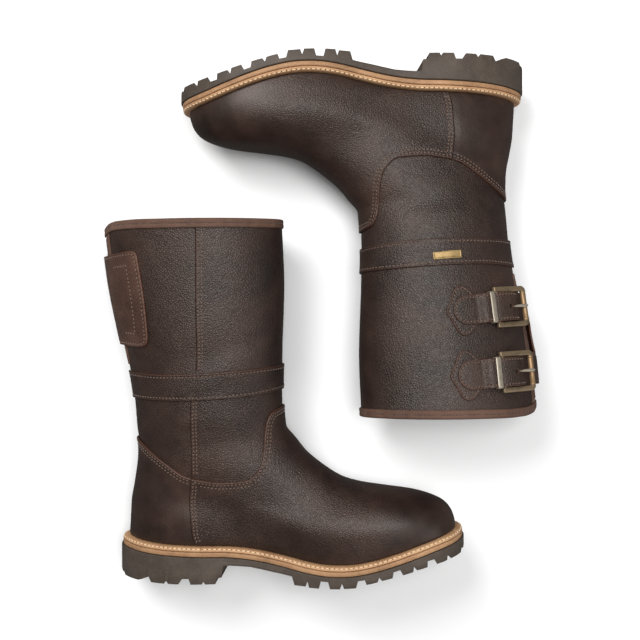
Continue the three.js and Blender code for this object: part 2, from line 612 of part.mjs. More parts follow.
// eye round the heel bar and a bar that lies on the roller
function prong(frame) {
  const eye = rod(frame, 0, 2.85, 1.7, 16).subtract(rod(frame, 0, HEEL_BAR_R + 0.1, 5, 16));
  const top = BAR_LIFT + ROLLER_R + 0.12;
  const bar = [
    [-1.9, BAR_LIFT + 0.6], [-1.9, BAR_LIFT + 2.4], [-12, BAR_LIFT + 3.0],
    [ROLLER_U + 1, top + 2.1], [ROLLER_U - 0.9, top + 1.9],
    [ROLLER_U - 1.3, top + 0.3], [ROLLER_U + 1, top + 0.1], [-12, BAR_LIFT + 1.15]];
  return eye.add(prism(bar, -PRONG_HALF_W, PRONG_HALF_W, frame.profile));
}

// metal loop round the strap
function keeper(frame) {
  const block = (halfHeight, room, overrun) => {
    const halfT = STRAP_W / 2 + room;
    const low = KEEPER_LIFT - halfHeight;
    const high = KEEPER_LIFT + halfHeight;
    const halfU = KEEPER_W / 2 + overrun;
    return prism([[-halfT, low], [halfT, low], [halfT, high], [-halfT, high]],
      KEEPER_U - halfU, KEEPER_U + halfU, frame.section);
  };
  return block(KEEPER_HALF_H + 1.05, 2.1, 0).subtract(block(KEEPER_HALF_H, 0.7, 2));
}

// ---------------------------------------------------------------- strap panel
// extra height of the panel round the back edge, clear of the gusset
function backStand(phi) {
  const angle = phi > Math.PI ? phi - 2 * Math.PI : phi;
  return 3.3 * Math.exp(-Math.pow((angle + .12) / .42, 2));
}

// strap's middle on its way to the back edge (u, w), where the panel's level crosses t = 0
function wrapPath(frame) {
  return [-.4, -.3, -.2, -.1].map((phi) => {
    const point = (k) => layer(phi, k, ON_SHAFT + STRAP_T / 2 + backStand(phi)).sub(frame.origin);
    let low = 13;
    let high = 19;
    for (let i = 0; i < 40; i++) {
      const middle = (low + high) / 2;
      if (point(middle).dot(frame.t) > 0) high = middle;
      else low = middle;
    }
    return [point(low).dot(frame.u), point(low).dot(frame.w)];
  });
}

// strap from its tip through the keeper, over the heel bar and under the roller
function strap(frame, tip) {
  const middle = [
    ...[tip, 33, 28, 23, 18].map((u) => [u, frame.leather(u) + 2.3 + STRAP_T / 2 + .35]),
    ...STRAP_OVER_BUCKLE,
    ...wrapPath(frame)];
  const outline = [[-70, -11.5]];
  for (let i = 0; i <= 10; i++) {
    const angle = -Math.PI / 2 + Math.PI * i / 10;
    outline.push([tip - 11 + 10.9 * Math.cos(angle), 11.02 * Math.sin(angle)]);
  }
  outline.push([-70, 11.5]);
  const prongSlot = [[-22.5, -1.7], [-9, -1.7], [-9, 1.7], [-22.5, 1.7]];
  const body = prism(strip(middle, STRAP_T), -STRAP_W / 2, STRAP_W / 2, frame.profile)
    .intersect(prism(outline, -60, 40, frame.face))
    .subtract(prism(prongSlot, -10, 30, frame.face));
  return HOLE_U.reduce((rest, u) => rest.subtract(
    prism(circle(u, 0, HOLE_R, 8), frame.leather(u) + 2.2, 30, frame.face)), body);
}

// tab on the inner side, round the back edge, into the two straps
function strapPanel(straps) {
  const sheet = bodyAt((phi) => ON_SHAFT + STRAP_T + backStand(phi))
    .subtract(bodyAt((phi) => ON_SHAFT + backStand(phi), 0.3));
  const backZone = side([
    [-40, 280.6], [-11, 280.8], [7, 283.7], [7, 206.2], [-8, 207.6], [-40, 207.8]], -15, 0.02);
  // opening between the straps at the back (Y, Z)
  const opening = [[-4.5, 236], [-4.5, 254], [-7, 257], [-30, 257], [-30, 233], [-7, 233]];
  const panel = sheet.intersect(side(TAB, 0, 90))
    .add(sheet.intersect(backZone))
    .subtract(prism(opening, -60, 8, rearView));
  return straps.reduce((sum, one) => sum.add(one), panel);
}

// ---------------------------------------------------------------- list of pieces
const FINE = 0.01;              // simplifying tolerances
const COARSE = 0.09;
const CRUMB = 15;               // mm3; cuts leave crumbs smaller than this

// a trimmed panel keeps its one real body; crumbs left by a cut are dropped
function withoutCrumbs(raw, tolerance) {
  const body = raw.asOriginal().simplify(tolerance);
  const pieces = body.decompose().sort((a, b) => b.volume() - a.volume());
  return pieces.length > 1 && pieces[1].volume() < CRUMB ? pieces[0] : body;
}
const part = (name, material, body, tolerance = COARSE) =>
  ({ name, material, body: withoutCrumbs(body, tolerance) });

const buckles = BUCKLES.map((spec) => ({ ...spec, frame: buckleFrame(spec) }));
const buckleParts = ({ name, frame, spade }) => [
  part(`${name}_chape`, MATERIALS.chape, chape(frame, spade)),
  part(`${name}_buckle_frame`, MATERIALS.brass, buckleBody(frame), FINE),
  part(`${name}_buckle_roller`, MATERIALS.roller, roller(frame), FINE),
  part(`${name}_buckle_prong`, MATERIALS.brass, prong(frame), FINE),
  part(`${name}_strap_keeper`, MATERIALS.pewter, keeper(frame), FINE),
];
const parts = [
  part('outsole', MATERIALS.rubber, outsole(), FINE),
  part('midsole', MATERIALS.midsole, midsole()),
  part('shank', MATERIALS.steel, shank()),
  part('welt', MATERIALS.welt, welt()),
  part('insole_board', MATERIALS.board, insoleBoard()),
  part('lining', MATERIALS.lining, lining()),
  part('footbed', MATERIALS.footbed, footbed()),
  part('shaft_main', MATERIALS.shaft, shaftMain()),
  part('shaft_rear_inner', MATERIALS.shaft, shaftRearInner()),
  part('vamp', MATERIALS.vamp, vamp()),
  part('heel_counter', MATERIALS.counter, heelCounter()),
  part('toe_puff', MATERIALS.board, stiffener(toeZone(0))),
  part('heel_stiffener', MATERIALS.board, stiffener(heelZone(0))),
  part('rear_gusset', MATERIALS.gusset, rearGusset()),
  part('collar_binding', MATERIALS.binding, collarBinding()),
  part('ankle_band', MATERIALS.counter, ankleBand()),
  part('name_plate', MATERIALS.plate, namePlate()),
  ...buckles.flatMap(buckleParts),
  part('strap_panel', MATERIALS.strap, strapPanel(buckles.map((b) => strap(b.frame, b.tip)))),
];

// ---------------------------------------------------------------- assembly
// right boot on its inner side; left boot mirrored, on its outer side
const LAY = {
  right: new THREE.Matrix4().set(
    -0.997, -0.0773, 0.00358, 171.07,
    0, -0.0462, -0.99893, 227.607,
    0.07738, -0.99594, 0.04606, 32.7001,
    0, 0, 0, 1),
  left: new THREE.Matrix4().set(
    0.99605, -0.08852, -0.00638, -170.673,
    0, -0.07186, 0.99741, -226.785,
    0.08875, 0.99348, 0.07158, 32.5351,
    0, 0, 0, 1),
};

function layGeometry(body, matrix) {
  const { vertProperties, numProp, triVerts } = body.getMesh();
  const positions = [];
  for (let i = 0; i < vertProperties.length; i += numProp) {
    positions.push(vertProperties[i], vertProperties[i + 1], vertProperties[i + 2]);
  }
  const triangles = Array.from(triVerts);
  const geometry = new THREE.BufferGeometry();
  geometry.setAttribute('position', new THREE.Float32BufferAttribute(positions, 3));
  // a mirrored boot needs its triangles turned outward again
  geometry.setIndex(matrix.determinant() < 0 ? reverseWinding(triangles) : triangles);
  return geometry.applyMatrix4(matrix);
}

const boots = new THREE.Group();
boots.name = 'riding_boots';
for (const [hand, matrix] of Object.entries(LAY)) {
  for (const { name, material, body } of parts) {
    const mesh = new THREE.Mesh(
      layGeometry(body, matrix),
      new THREE.MeshStandardMaterial({ ...material, flatShading: true }));
    mesh.name = `${hand}_${name}`;
    boots.add(mesh);
  }
}

export default boots;
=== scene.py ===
import json
import math
import bpy
import bmesh
import numpy as np
from mathutils import Matrix, Vector

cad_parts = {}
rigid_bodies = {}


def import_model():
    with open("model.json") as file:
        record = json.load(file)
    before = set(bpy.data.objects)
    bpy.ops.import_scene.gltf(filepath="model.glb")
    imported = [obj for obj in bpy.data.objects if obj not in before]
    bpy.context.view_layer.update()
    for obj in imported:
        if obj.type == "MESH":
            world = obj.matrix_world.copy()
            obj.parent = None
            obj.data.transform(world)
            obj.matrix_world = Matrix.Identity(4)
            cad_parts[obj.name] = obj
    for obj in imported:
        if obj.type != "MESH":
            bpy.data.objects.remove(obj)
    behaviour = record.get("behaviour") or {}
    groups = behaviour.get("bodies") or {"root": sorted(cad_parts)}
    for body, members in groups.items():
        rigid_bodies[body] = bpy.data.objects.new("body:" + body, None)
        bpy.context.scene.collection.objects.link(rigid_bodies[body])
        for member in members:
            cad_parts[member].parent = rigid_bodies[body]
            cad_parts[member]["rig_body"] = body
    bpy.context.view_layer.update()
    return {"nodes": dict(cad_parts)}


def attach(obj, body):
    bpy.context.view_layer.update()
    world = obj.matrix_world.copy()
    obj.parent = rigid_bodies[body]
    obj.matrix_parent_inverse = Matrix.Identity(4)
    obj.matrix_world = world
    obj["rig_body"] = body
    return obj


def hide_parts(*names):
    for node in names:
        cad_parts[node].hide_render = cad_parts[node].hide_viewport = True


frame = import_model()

# ------------------------------------------------------------------ sizes (mm), as in the CAD part
GAP, LEATHER_T, VAMP_T = 0.3, 1.9, 3.9
BAND_H, MIDSOLE_H = 7.6, 4.05
STRAP_T = 1.8
BUCKLE_L, ARM_T, BAR_LIFT = 28.0, 14.6, 4.6
ROLLER_R, ROLLER_BORE, FRONT_BAR_R, HEEL_BAR_R, ROLLER_L = 2.3, 1.4, 1.3, 1.5, 24.0
KEEPER_U, KEEPER_W, KEEPER_Z = 7.5, 4.8, 7.3

A = np.array
BACK = A([[3.09, 40.16], [3.5, 43.79], [4.13, 51.42], [4.66, 58.58], [5.18, 65.73], [5.89, 72.87], [7.31, 80.02], [8.72, 86.71], [10.35, 95.16], [11.64, 104.92], [12.33, 115.53], [12.15, 126.99], [11.7, 142.8], [10.3, 163.81], [6.5, 189.97], [0.6, 219.48], [-5.49, 252.3], [-9.17, 281.51], [-10.93, 298.62], [-10.59, 311.83]])
FRONT = A([[285.07, 52.28], [283.73, 59.89], [280.08, 68.02], [272.5, 74.52], [256.92, 79.66], [234.95, 82.29], [211.17, 85.17], [190.71, 90.81], [171.92, 102.92], [155.7, 117.44], [144.62, 130.31], [139.91, 141.51], [138.51, 156.18], [138.2, 176.83], [138.71, 200.83], [140.02, 228.1], [140.74, 256.92], [140.14, 282.2], [139.45, 297.32], [139.0, 311.13]])
SAG = A([1, .94, .86, .76, .62, .48, .34, .23, .14, .07, .03, 0, 0, 0, 0, 0, 0, 0, 0, 0])
LAST = len(BACK) - 1
STN = np.arange(LAST + 1.0)
RUBBER_X = A([-10, 1, 21, 43.5, 73, 96, 121, 140.7, 160, 179.5, 198, 217, 235, 253, 271.5, 289, 300, 306])
RUBBER_Z = A([32.6, 32.6, 31.9, 31.5, 31.2, 30.9, 28.6, 25.3, 22, 20.7, 22.1, 26.2, 31.6, 37.4, 42.6, 45.2, 46.4, 47])
COLS = A([0, .05, .12, .2, .35, .5, .62, .72, .82, .9, .96, 1])
ROWS = A([0, 1.5, 3, 6, 9, 12, 16, 19])
INNER = A([
    [43, 43.6, 42.5, 38.6, 29.8, 31, 40.2, 48, 54.5, 60.8, 67.5, 70],
    [46, 46.2, 45, 41, 32.5, 34.5, 43, 50, 56.5, 62, 66, 67],
    [46, 46, 45.5, 42, 34, 36.5, 44.5, 51, 56.5, 60, 59, 58],
    [44, 43, 42, 39, 35.2, 35.5, 36.5, 38.5, 41.5, 44.5, 47, 48],
    [37, 37, 37, 38, 39, 39.5, 39.8, 40, 40.5, 41.5, 42.5, 43],
    [39, 39, 39.5, 40.5, 41.5, 42, 42, 42, 41.5, 41, 41, 41],
    [46, 46, 46.5, 47, 47.5, 48, 48, 48, 48, 47.5, 47, 47],
    [50, 50, 50, 50, 50.5, 51, 51, 51, 51, 50.5, 50, 50]])
OUTER = A([
    [43, 43.6, 42.8, 40.2, 34.2, 36.5, 43.6, 49, 53, 54.2, 52.5, 50],
    [46, 46.2, 45.2, 42.4, 36.5, 39.5, 46, 51, 54.5, 55.5, 53, 51],
    [46, 46, 45.5, 43, 37, 40, 46, 51, 54, 53, 50, 48],
    [44, 43, 42, 40, 37, 37.5, 38.5, 40, 42, 44, 45.5, 46],
    [37, 37, 37, 38, 39, 39.5, 39.8, 40, 40.5, 41.5, 42.5, 43],
    [39, 39, 39.5, 40.5, 41.5, 42, 42, 42, 41.5, 41, 41, 41],
    [46, 46, 46.5, 47, 47.5, 48, 48, 48, 48, 47.5, 47, 47],
    [50, 50, 50, 50, 50.5, 51, 51, 51, 51, 50.5, 50, 50]])
LOW_LINE = A([[-30, 131], [5, 128.3], [14.8, 125.1], [28.7, 117], [44, 108], [57.4, 100], [66.2, 97], [75.2, 95.8], [88.3, 94.5], [100.9, 95.3], [113.7, 97], [118.2, 100], [123.8, 107.4], [126.3, 118], [127, 130.5], [128.2, 143.5], [131.4, 150.4], [136.2, 152.8], [141, 154.5], [170, 158], [330, 158]])
COUNTER_SEAM = A([[66.4, 110], [66.3, 96.7], [63.9, 77], [64.8, 64.7], [66.3, 46.5], [68.9, 38.3], [70.5, 25]])
SIDE_SEAM = A([[76.9, 325], [76.7, 304], [75.4, 246], [74.1, 188.5], [69.3, 162.8], [66.4, 99], [65.8, 70]])
BAND_LOW = A([[-25, 160.5], [10, 161], [16.8, 161.6], [57.2, 163.3], [86.5, 164.5], [121.9, 166.5], [137.5, 168.1], [165, 169.5]])
BAND_TOP = A([[-25, 184.4], [14.7, 184.3], [42, 184.4], [73, 186], [108, 188], [126.6, 188.8], [137.5, 188.9], [165, 189.5]])
RIM = A([[-40, 283], [-15, 291], [-11.6, 297], [-9, 302], [-6, 305.6], [-2, 308], [4, 309.6], [14, 310.4], [50, 310.9], [137, 311.2], [330, 311.4]])
TAB = A([[-30, 279.4], [-11, 280.8], [8, 283.8], [23.2, 285.1], [26, 283.6], [27.1, 280.2], [28.7, 269.7], [31.3, 251], [32.7, 235.4], [33.5, 219.7], [33.2, 212.5], [31.8, 208.7], [27.8, 207], [6, 206.9], [-8, 207.6], [-30, 208]])
PLATE = A([[62.4, 173.7], [85.5, 175.2], [84.8, 182.1], [62.1, 180.3]])
SLIT = A([[124, 0], [129, 2.2], [150, 3.4], [200, 7.5], [260, 12], [300, 14.5], [325, 15.5]])
BUCKLES = [dict(name="lower", x=33.4, z=220.9, rise=6.0, spade=29.1, tip=38.0),
           dict(name="upper", x=29.9, z=273.8, rise=4.5, spade=30.2, tip=38.5)]
TREAD = A([[-4.2, 22], [-4.2, 12.3], [-1.6, 9.8], [1.6, 9.8], [2.8, 7.8], [17.5, 7.9], [22.5, 9.9], [27.8, 12.6], [30.2, 8.2], [42.1, 8.4], [44, 10.9], [45.8, 8.5], [54.7, 8.6], [57.4, 13.4], [63.4, 13.6], [65.1, 8.8], [74.4, 9], [75.7, 11.5], [77.3, 9], [85.6, 9.2], [87.3, 14.4], [90.6, 14.6], [92.4, 24.2], [98, 24.8], [114.5, 24], [133, 20.8], [146.6, 18.8], [150, 18.2], [152.1, 11.2], [161.5, 11.2], [163.1, 15.6], [164.5, 10.6], [172.7, 10.8], [174.4, 17], [180.3, 17.3], [181.9, 11.2], [190.1, 11.9], [191.8, 16.6], [193.4, 12.5], [203.2, 13.7], [204.8, 20], [210.1, 21], [211.7, 16.7], [220.5, 19.2], [221.7, 23], [224.1, 20.2], [232.5, 22.5], [233.3, 27.6], [238.5, 29], [240.8, 24.7], [248.8, 26.8], [249.6, 31.3], [252, 28], [260.4, 30], [260.6, 34.9], [265.8, 35.8], [268.2, 31.6], [276.5, 33], [277.1, 36.9], [279.8, 33.6], [288.6, 34.2], [289.6, 37.4], [290.8, 35.8], [293.4, 37.6], [294, 44]])
FLOOR = A([[-4.2, 22], [-1.5, 16], [10, 14.8], [27, 13.8], [87, 14.4], [90.6, 14.6], [92.4, 24.2], [98, 24.8], [114.5, 24], [133, 20.8], [146.6, 18.8], [160, 17.6], [176, 17.2], [192, 18.4], [208, 21], [222, 24.6], [236, 29], [250, 32.6], [263, 35.6], [277, 38], [290, 40.5], [294, 44]])
LAY = {"right": A([[-0.997, -0.0773, 0.00358, 171.07], [0, -0.0462, -0.99893, 227.607], [0.07738, -0.99594, 0.04606, 32.7001], [0, 0, 0, 1]]),
       "left": A([[0.99605, -0.08852, -0.00638, -170.673], [0, -0.07186, 0.99741, -226.785], [0.08875, 0.99348, 0.07158, 32.5351], [0, 0, 0, 1]])}


# ------------------------------------------------------------------ curves and the skin of the boot
def cr(xs, ys, x):
    """non-uniform Catmull-Rom through (xs, ys)"""
    ys = np.asarray(ys, float)
    x = np.clip(np.asarray(x, float), xs[0], xs[-1])
    n = len(xs)
    tail = (1,) * (ys.ndim - 1)
    d = (ys[1:] - ys[:-1]) / (xs[1:] - xs[:-1]).reshape((-1,) + tail)
    m = np.empty_like(ys)
    m[0], m[-1] = d[0], d[-1]
    for i in range(1, n - 1):
        a, b = xs[i] - xs[i - 1], xs[i + 1] - xs[i]
        m[i] = (d[i - 1] * b + d[i] * a) / (a + b)
    i = np.clip(np.searchsorted(xs, x, side="right") - 1, 0, n - 2)
    h = xs[i + 1] - xs[i]
    t = ((x - xs[i]) / h).reshape(x.shape + tail)
    h = h.reshape(x.shape + tail)
    return (2 * t**3 - 3 * t**2 + 1) * ys[i] + (t**3 - 2 * t**2 + t) * h * m[i] + (3 * t**2 - 2 * t**3) * ys[i + 1] + (t**3 - t**2) * h * m[i + 1]


def rubber_top(x):
    return cr(RUBBER_X, RUBBER_Z, x)


def across(T, s):
    """each row of T read at its own s"""
    n = len(COLS)
    i = np.clip(np.searchsorted(COLS, s, side="right") - 1, 0, n - 2)
    d = (T[:, 1:] - T[:, :-1]) / (COLS[1:] - COLS[:-1])
    h = COLS[1:] - COLS[:-1]
    m = np.empty_like(T)
    m[:, 0], m[:, -1] = d[:, 0], d[:, -1]
    m[:, 1:-1] = (d[:, :-1] * h[1:] + d[:, 1:] * h[:-1]) / (h[1:] + h[:-1])
    r = np.arange(len(s))
    hh = h[i]
    t = (s - COLS[i]) / hh
    return (2 * t**3 - 3 * t**2 + 1) * T[r, i] + (t**3 - 2 * t**2 + t) * hh * m[r, i] + (3 * t**2 - 2 * t**3) * T[r, i + 1] + (t**3 - t**2) * hh * m[r, i + 1]


def skin(phi, k):
    phi, k = np.broadcast_arrays(np.asarray(phi, float), np.asarray(k, float))
    shape = phi.shape
    phi, k = phi.ravel(), k.ravel()
    s = (1 - np.cos(phi)) / 2
    kk = np.clip(k, 0, LAST)
    b, f = cr(STN, BACK, kk), cr(STN, FRONT, kk)
    x0 = BACK[0, 0] + (FRONT[0, 0] - BACK[0, 0]) * s
    z0 = BACK[0, 1] + (FRONT[0, 1] - BACK[0, 1]) * s
    x = b[:, 0] + (f[:, 0] - b[:, 0]) * s
    z = b[:, 1] + (f[:, 1] - b[:, 1]) * s + (rubber_top(x0) + BAND_H - z0) * cr(STN, SAG, kk)
    sn = np.sin(phi)
    T = np.where(sn[:, None] >= 0, cr(ROWS, INNER, kk), cr(ROWS, OUTER, kk))
    y = across(T, s) * sn
    z = z + np.where(k < 0, 6 * k, 0) + np.where(k > LAST, 14 * (k - LAST), 0)
    return np.stack([x, y, z], -1).reshape(shape + (3,))


def unit(v):
    return v / np.maximum(np.linalg.norm(v, axis=-1, keepdims=True), 1e-12)


def normal(phi, k):
    e = 1e-3
    phi, k = np.broadcast_arrays(np.asarray(phi, float), np.asarray(k, float))
    kk = np.clip(k, .02, LAST - .02)
    a = skin(phi + e, k) - skin(phi - e, k)
    c = skin(phi, kk + 1e-2) - skin(phi, kk - 1e-2)
    return unit(np.cross(c, a))


def level_zero(k):
    t = np.clip((np.asarray(k, float) - 10) / 2, 0, 1)
    return -VAMP_T + (VAMP_T - LEATHER_T) * t * t * (3 - 2 * t)


def bump(x, w):
    return np.exp(-(x / w) ** 2)


def relief(phi, k):
    """soft folds of worn leather, shared by every layer of the upper"""
    p = np.mod(phi, 2 * math.pi)
    side_in, side_out = bump(p - 1.75, .62), bump(p - 4.55, .62)
    front = bump(p - math.pi, .55)
    r = -0.9 * side_in * bump(k - 14.1 - .5 * (p - 1.6), .42)
    r += 0.7 * side_in * bump(k - 13.3 - .8 * (p - 1.6), .4)
    r += -0.8 * bump(p - 1.25, .35) * bump(k - 11.6 + .9 * (p - 1.2), .45)
    r += -0.8 * side_out * bump(k - 10.9 - .5 * (p - 4.6), .5)
    r += 0.5 * side_out * bump(k - 9.6, .55)
    r += -0.9 * front * bump(k - 10.4, .35) + 0.6 * front * bump(k - 9.5, .45) - 0.5 * front * bump(k - 8.7, .4)
    r += 0.35 * np.sin(2.3 * p + 1.1 * k) * np.sin(.9 * k + .7) * bump(k - 12, 4.5)
    r += 0.22 * np.sin(5 * p + .4) * np.sin(1.7 * k) * bump(k - 10, 3.5)
    calm = 1 - np.clip((k - 13.2) / 1.5, 0, 1) * np.clip(1 - np.abs(np.mod(p + math.pi, 2 * math.pi) - math.pi + .55) / 1.7, 0, 1) ** .5
    return r * np.clip(k / 2, 0, 1) * calm * np.clip((LAST - 1 - k) / 2, 0, 1)


def layer(phi, k, e):
    return skin(phi, k) + normal(phi, k) * (level_zero(k) + relief(phi, k) + e)[..., None]


def skin_pos(P, e):
    return layer(P[:, 0], P[:, 1], np.broadcast_to(np.asarray(e, float), (len(P),)))


def smooth_line(poly, closed=False, step=1.2):
    """dense smooth polyline through the points"""
    p = np.asarray(poly, float)
    if closed:
        p = np.vstack([p, p[:1]])
    out = []
    n = len(p)
    for i in range(n - 1):
        a = p[i - 1] if i > 0 else (p[-2] if closed else 2 * p[0] - p[1])
        b, c = p[i], p[i + 1]
        d = p[i + 2] if i + 2 < n else (p[1] if closed else 2 * p[-1] - p[-2])
        t0 = 0
        t1 = np.linalg.norm(b - a) ** .5 + 1e-9
        t2 = t1 + np.linalg.norm(c - b) ** .5
        t3 = t2 + np.linalg.norm(d - c) ** .5
        m = max(2, int(np.linalg.norm(c - b) / step))
        for t in np.linspace(t1, t2, m, endpoint=False):
            a1 = (t1 - t) / (t1 - t0) * a + (t - t0) / (t1 - t0) * b
            a2 = (t2 - t) / (t2 - t1) * b + (t - t1) / (t2 - t1) * c
            a3 = (t3 - t) / (t3 - t2) * c + (t - t2) / (t3 - t2) * d
            b1 = (t2 - t) / (t2 - t0) * a1 + (t - t0) / (t2 - t0) * a2
            b2 = (t3 - t) / (t3 - t1) * a2 + (t - t1) / (t3 - t1) * a3
            out.append((t2 - t) / (t2 - t1) * b1 + (t - t1) / (t2 - t1) * b2)
    if not closed:
        out.append(p[-1])
    return A(out)


def seg_dist(Q, poly, closed):
    p0 = poly
    p1 = np.roll(poly, -1, 0) if closed else poly[1:]
    if not closed:
        p0 = poly[:-1]
    best = np.full(len(Q), 1e9)
    sign = np.ones(len(Q))
    for i in range(len(p0)):
        d = p1[i] - p0[i]
        L2 = d @ d + 1e-12
        w = Q - p0[i]
        t = np.clip((w @ d) / L2, 0, 1)
        v = w - t[:, None] * d
        dist = v[:, 0] ** 2 + v[:, 1] ** 2
        near = dist < best - 1e-12
        best = np.where(near, dist, best)
        sign = np.where(near, np.where(d[0] * w[:, 1] - d[1] * w[:, 0] >= 0, 1, -1), sign)
    return np.sqrt(best), sign


def sd_open(Q, poly):
    """signed distance, positive on the left of the line's direction"""
    d, s = seg_dist(Q, poly, False)
    return d * s


def sd_closed(Q, poly):
    """positive inside"""
    d, _ = seg_dist(Q, poly, True)
    x, y = Q[:, 0], Q[:, 1]
    inside = np.zeros(len(Q), bool)
    q = np.roll(poly, -1, 0)
    for a, b in zip(poly, q):
        c = (a[1] > y) != (b[1] > y)
        if c.any():
            inside ^= c & (x < (b[0] - a[0]) * (y - a[1]) / (b[1] - a[1] + 1e-12) + a[0])
    return np.where(inside, d, -d)


class Table:
    """a signed distance kept on a fine 2-D lattice and read back smoothly"""

    def __init__(self, poly, closed, lo, hi, h=1.0):
        self.lo, self.h = A(lo, float), h
        n = np.ceil((A(hi) - self.lo) / h).astype(int) + 1
        X, Y = np.meshgrid(self.lo[0] + h * np.arange(n[0]), self.lo[1] + h * np.arange(n[1]), indexing="ij")
        Q = np.stack([X.ravel(), Y.ravel()], 1)
        self.g = (sd_closed(Q, poly) if closed else sd_open(Q, poly)).reshape(n)

    def __call__(self, Q):
        f = (Q - self.lo) / self.h
        n = A(self.g.shape)
        f = np.clip(f, 0, n - 1.001)
        i = f.astype(int)
        t = f - i
        g = self.g
        a, b = g[i[:, 0], i[:, 1]], g[i[:, 0] + 1, i[:, 1]]
        c, d = g[i[:, 0], i[:, 1] + 1], g[i[:, 0] + 1, i[:, 1] + 1]
        return (a * (1 - t[:, 0]) + b * t[:, 0]) * (1 - t[:, 1]) + (c * (1 - t[:, 0]) + d * t[:, 0]) * t[:, 1]


WIDE = dict(LOW=LOW_LINE, COUNTER=COUNTER_SEAM, SEAM=SIDE_SEAM, BLOW=BAND_LOW, BTOP=BAND_TOP, RIM=RIM)
SPAN = dict(LOW=((-40, 15), (330, 330)), COUNTER=((-40, 15), (330, 140)), SEAM=((-40, 80), (180, 330)), BLOW=((-40, 80), (180, 330)), BTOP=((-40, 80), (180, 330)), RIM=((-40, 80), (180, 330)))
SM = {n: Table(smooth_line(v, step=2.2), False, *SPAN[n]) for n, v in WIDE.items()}
TAB_L = Table(smooth_line(TAB, True, 1.6), True, (-45, 185), (60, 305), .7)


def xz(P):
    return skin(P[:, 0], P[:, 1])[:, [0, 2]]


def true_dist(F, floor=.3):
    """turns a side-view distance into one measured along the skin"""
    def G(P):
        v = F(P)
        h, g = A([2e-3, 0]), A([0, 4e-3])
        a = (skin_pos(P + h, 0) - skin_pos(P - h, 0)) / 4e-3
        c = (skin_pos(P + g, 0) - skin_pos(P - g, 0)) / 8e-3
        fa = (F(P + h) - F(P - h)) / 4e-3
        fc = (F(P + g) - F(P - g)) / 8e-3
        aa, cc, ac = (a * a).sum(1), (c * c).sum(1), (a * c).sum(1)
        g2 = (fa * fa * cc - 2 * fa * fc * ac + fc * fc * aa) / np.maximum(aa * cc - ac * ac, 1e-9)
        return v / np.sqrt(np.clip(g2, floor ** 2, 9))
    return G


below_low = true_dist(lambda P: -SM["LOW"](xz(P)))
ahead_counter = lambda P: SM["COUNTER"](xz(P))
ahead_seam = lambda P: SM["SEAM"](xz(P))
above_band = true_dist(lambda P: SM["BLOW"](xz(P)))
under_band = true_dist(lambda P: -SM["BTOP"](xz(P)))
under_rim = true_dist(lambda P: -SM["RIM"](xz(P)))
off_welt = true_dist(lambda P: (lambda q: q[:, 1] - rubber_top(q[:, 0]) - BAND_H - .15)(xz(P)))


def off_slit(P):
    q = skin(P[:, 0], P[:, 1])
    p = np.mod(P[:, 0] + math.pi, 2 * math.pi) - math.pi
    w = np.interp(q[:, 2], SLIT[:, 0], SLIT[:, 1])
    d = np.abs(q[:, 1]) - w
    d = np.where(q[:, 2] < 124, np.maximum(np.hypot(q[:, 1], 124 - q[:, 2]), .5), d)
    return np.where(np.abs(p) > 1.3, 40.0, d)


# ------------------------------------------------------------------ cut sheets
def grid(ps, qs):
    n, m = len(ps), len(qs)
    P = np.stack(np.meshgrid(ps, qs, indexing="ij"), -1).reshape(-1, 2)
    idx = np.arange(n * m).reshape(n, m)
    a, b, c, d = idx[:-1, :-1].ravel(), idx[1:, :-1].ravel(), idx[1:, 1:].ravel(), idx[:-1, 1:].ravel()
    return P, np.concatenate([np.stack([a, c, b], 1), np.stack([a, d, c], 1)])


def cut(P, T, val, keep, snap=.06):
    """splits triangles along val = 0; keep drops the negative side"""
    val = np.where(np.abs(val) < snap, 0, val)
    s = np.sign(val).astype(int)
    ts = s[T]
    cross = (ts.min(1) < 0) & (ts.max(1) > 0)
    rest = T[~cross]
    if keep:
        rest = rest[s[rest].min(1) >= 0]
    new, edges, tris = [], {}, []
    base = len(P)

    def mid(i, j):
        key = (i, j) if i < j else (j, i)
        if key not in edges:
            i2, j2 = key
            t = val[i2] / (val[i2] - val[j2])
            edges[key] = base + len(new)
            new.append(P[i2] * (1 - t) + P[j2] * t)
        return edges[key]
    for tri in T[cross]:
        poly = []
        for a in range(3):
            i, j = int(tri[a]), int(tri[(a + 1) % 3])
            poly.append((i, s[i]))
            if s[i] * s[j] < 0:
                poly.append((mid(i, j), 0))
        for sg in ((1,) if keep else (1, -1)):
            v = [q[0] for q in poly if q[1] * sg >= 0]
            for a in range(1, len(v) - 1):
                tris.append((v[0], v[a], v[a + 1]))
    if new:
        P = np.vstack([P, A(new)])
    T = np.vstack([rest, A(tris, int).reshape(-1, 3)])
    used, inv = np.unique(T, return_inverse=True)
    return P[used], inv.reshape(-1, 3)


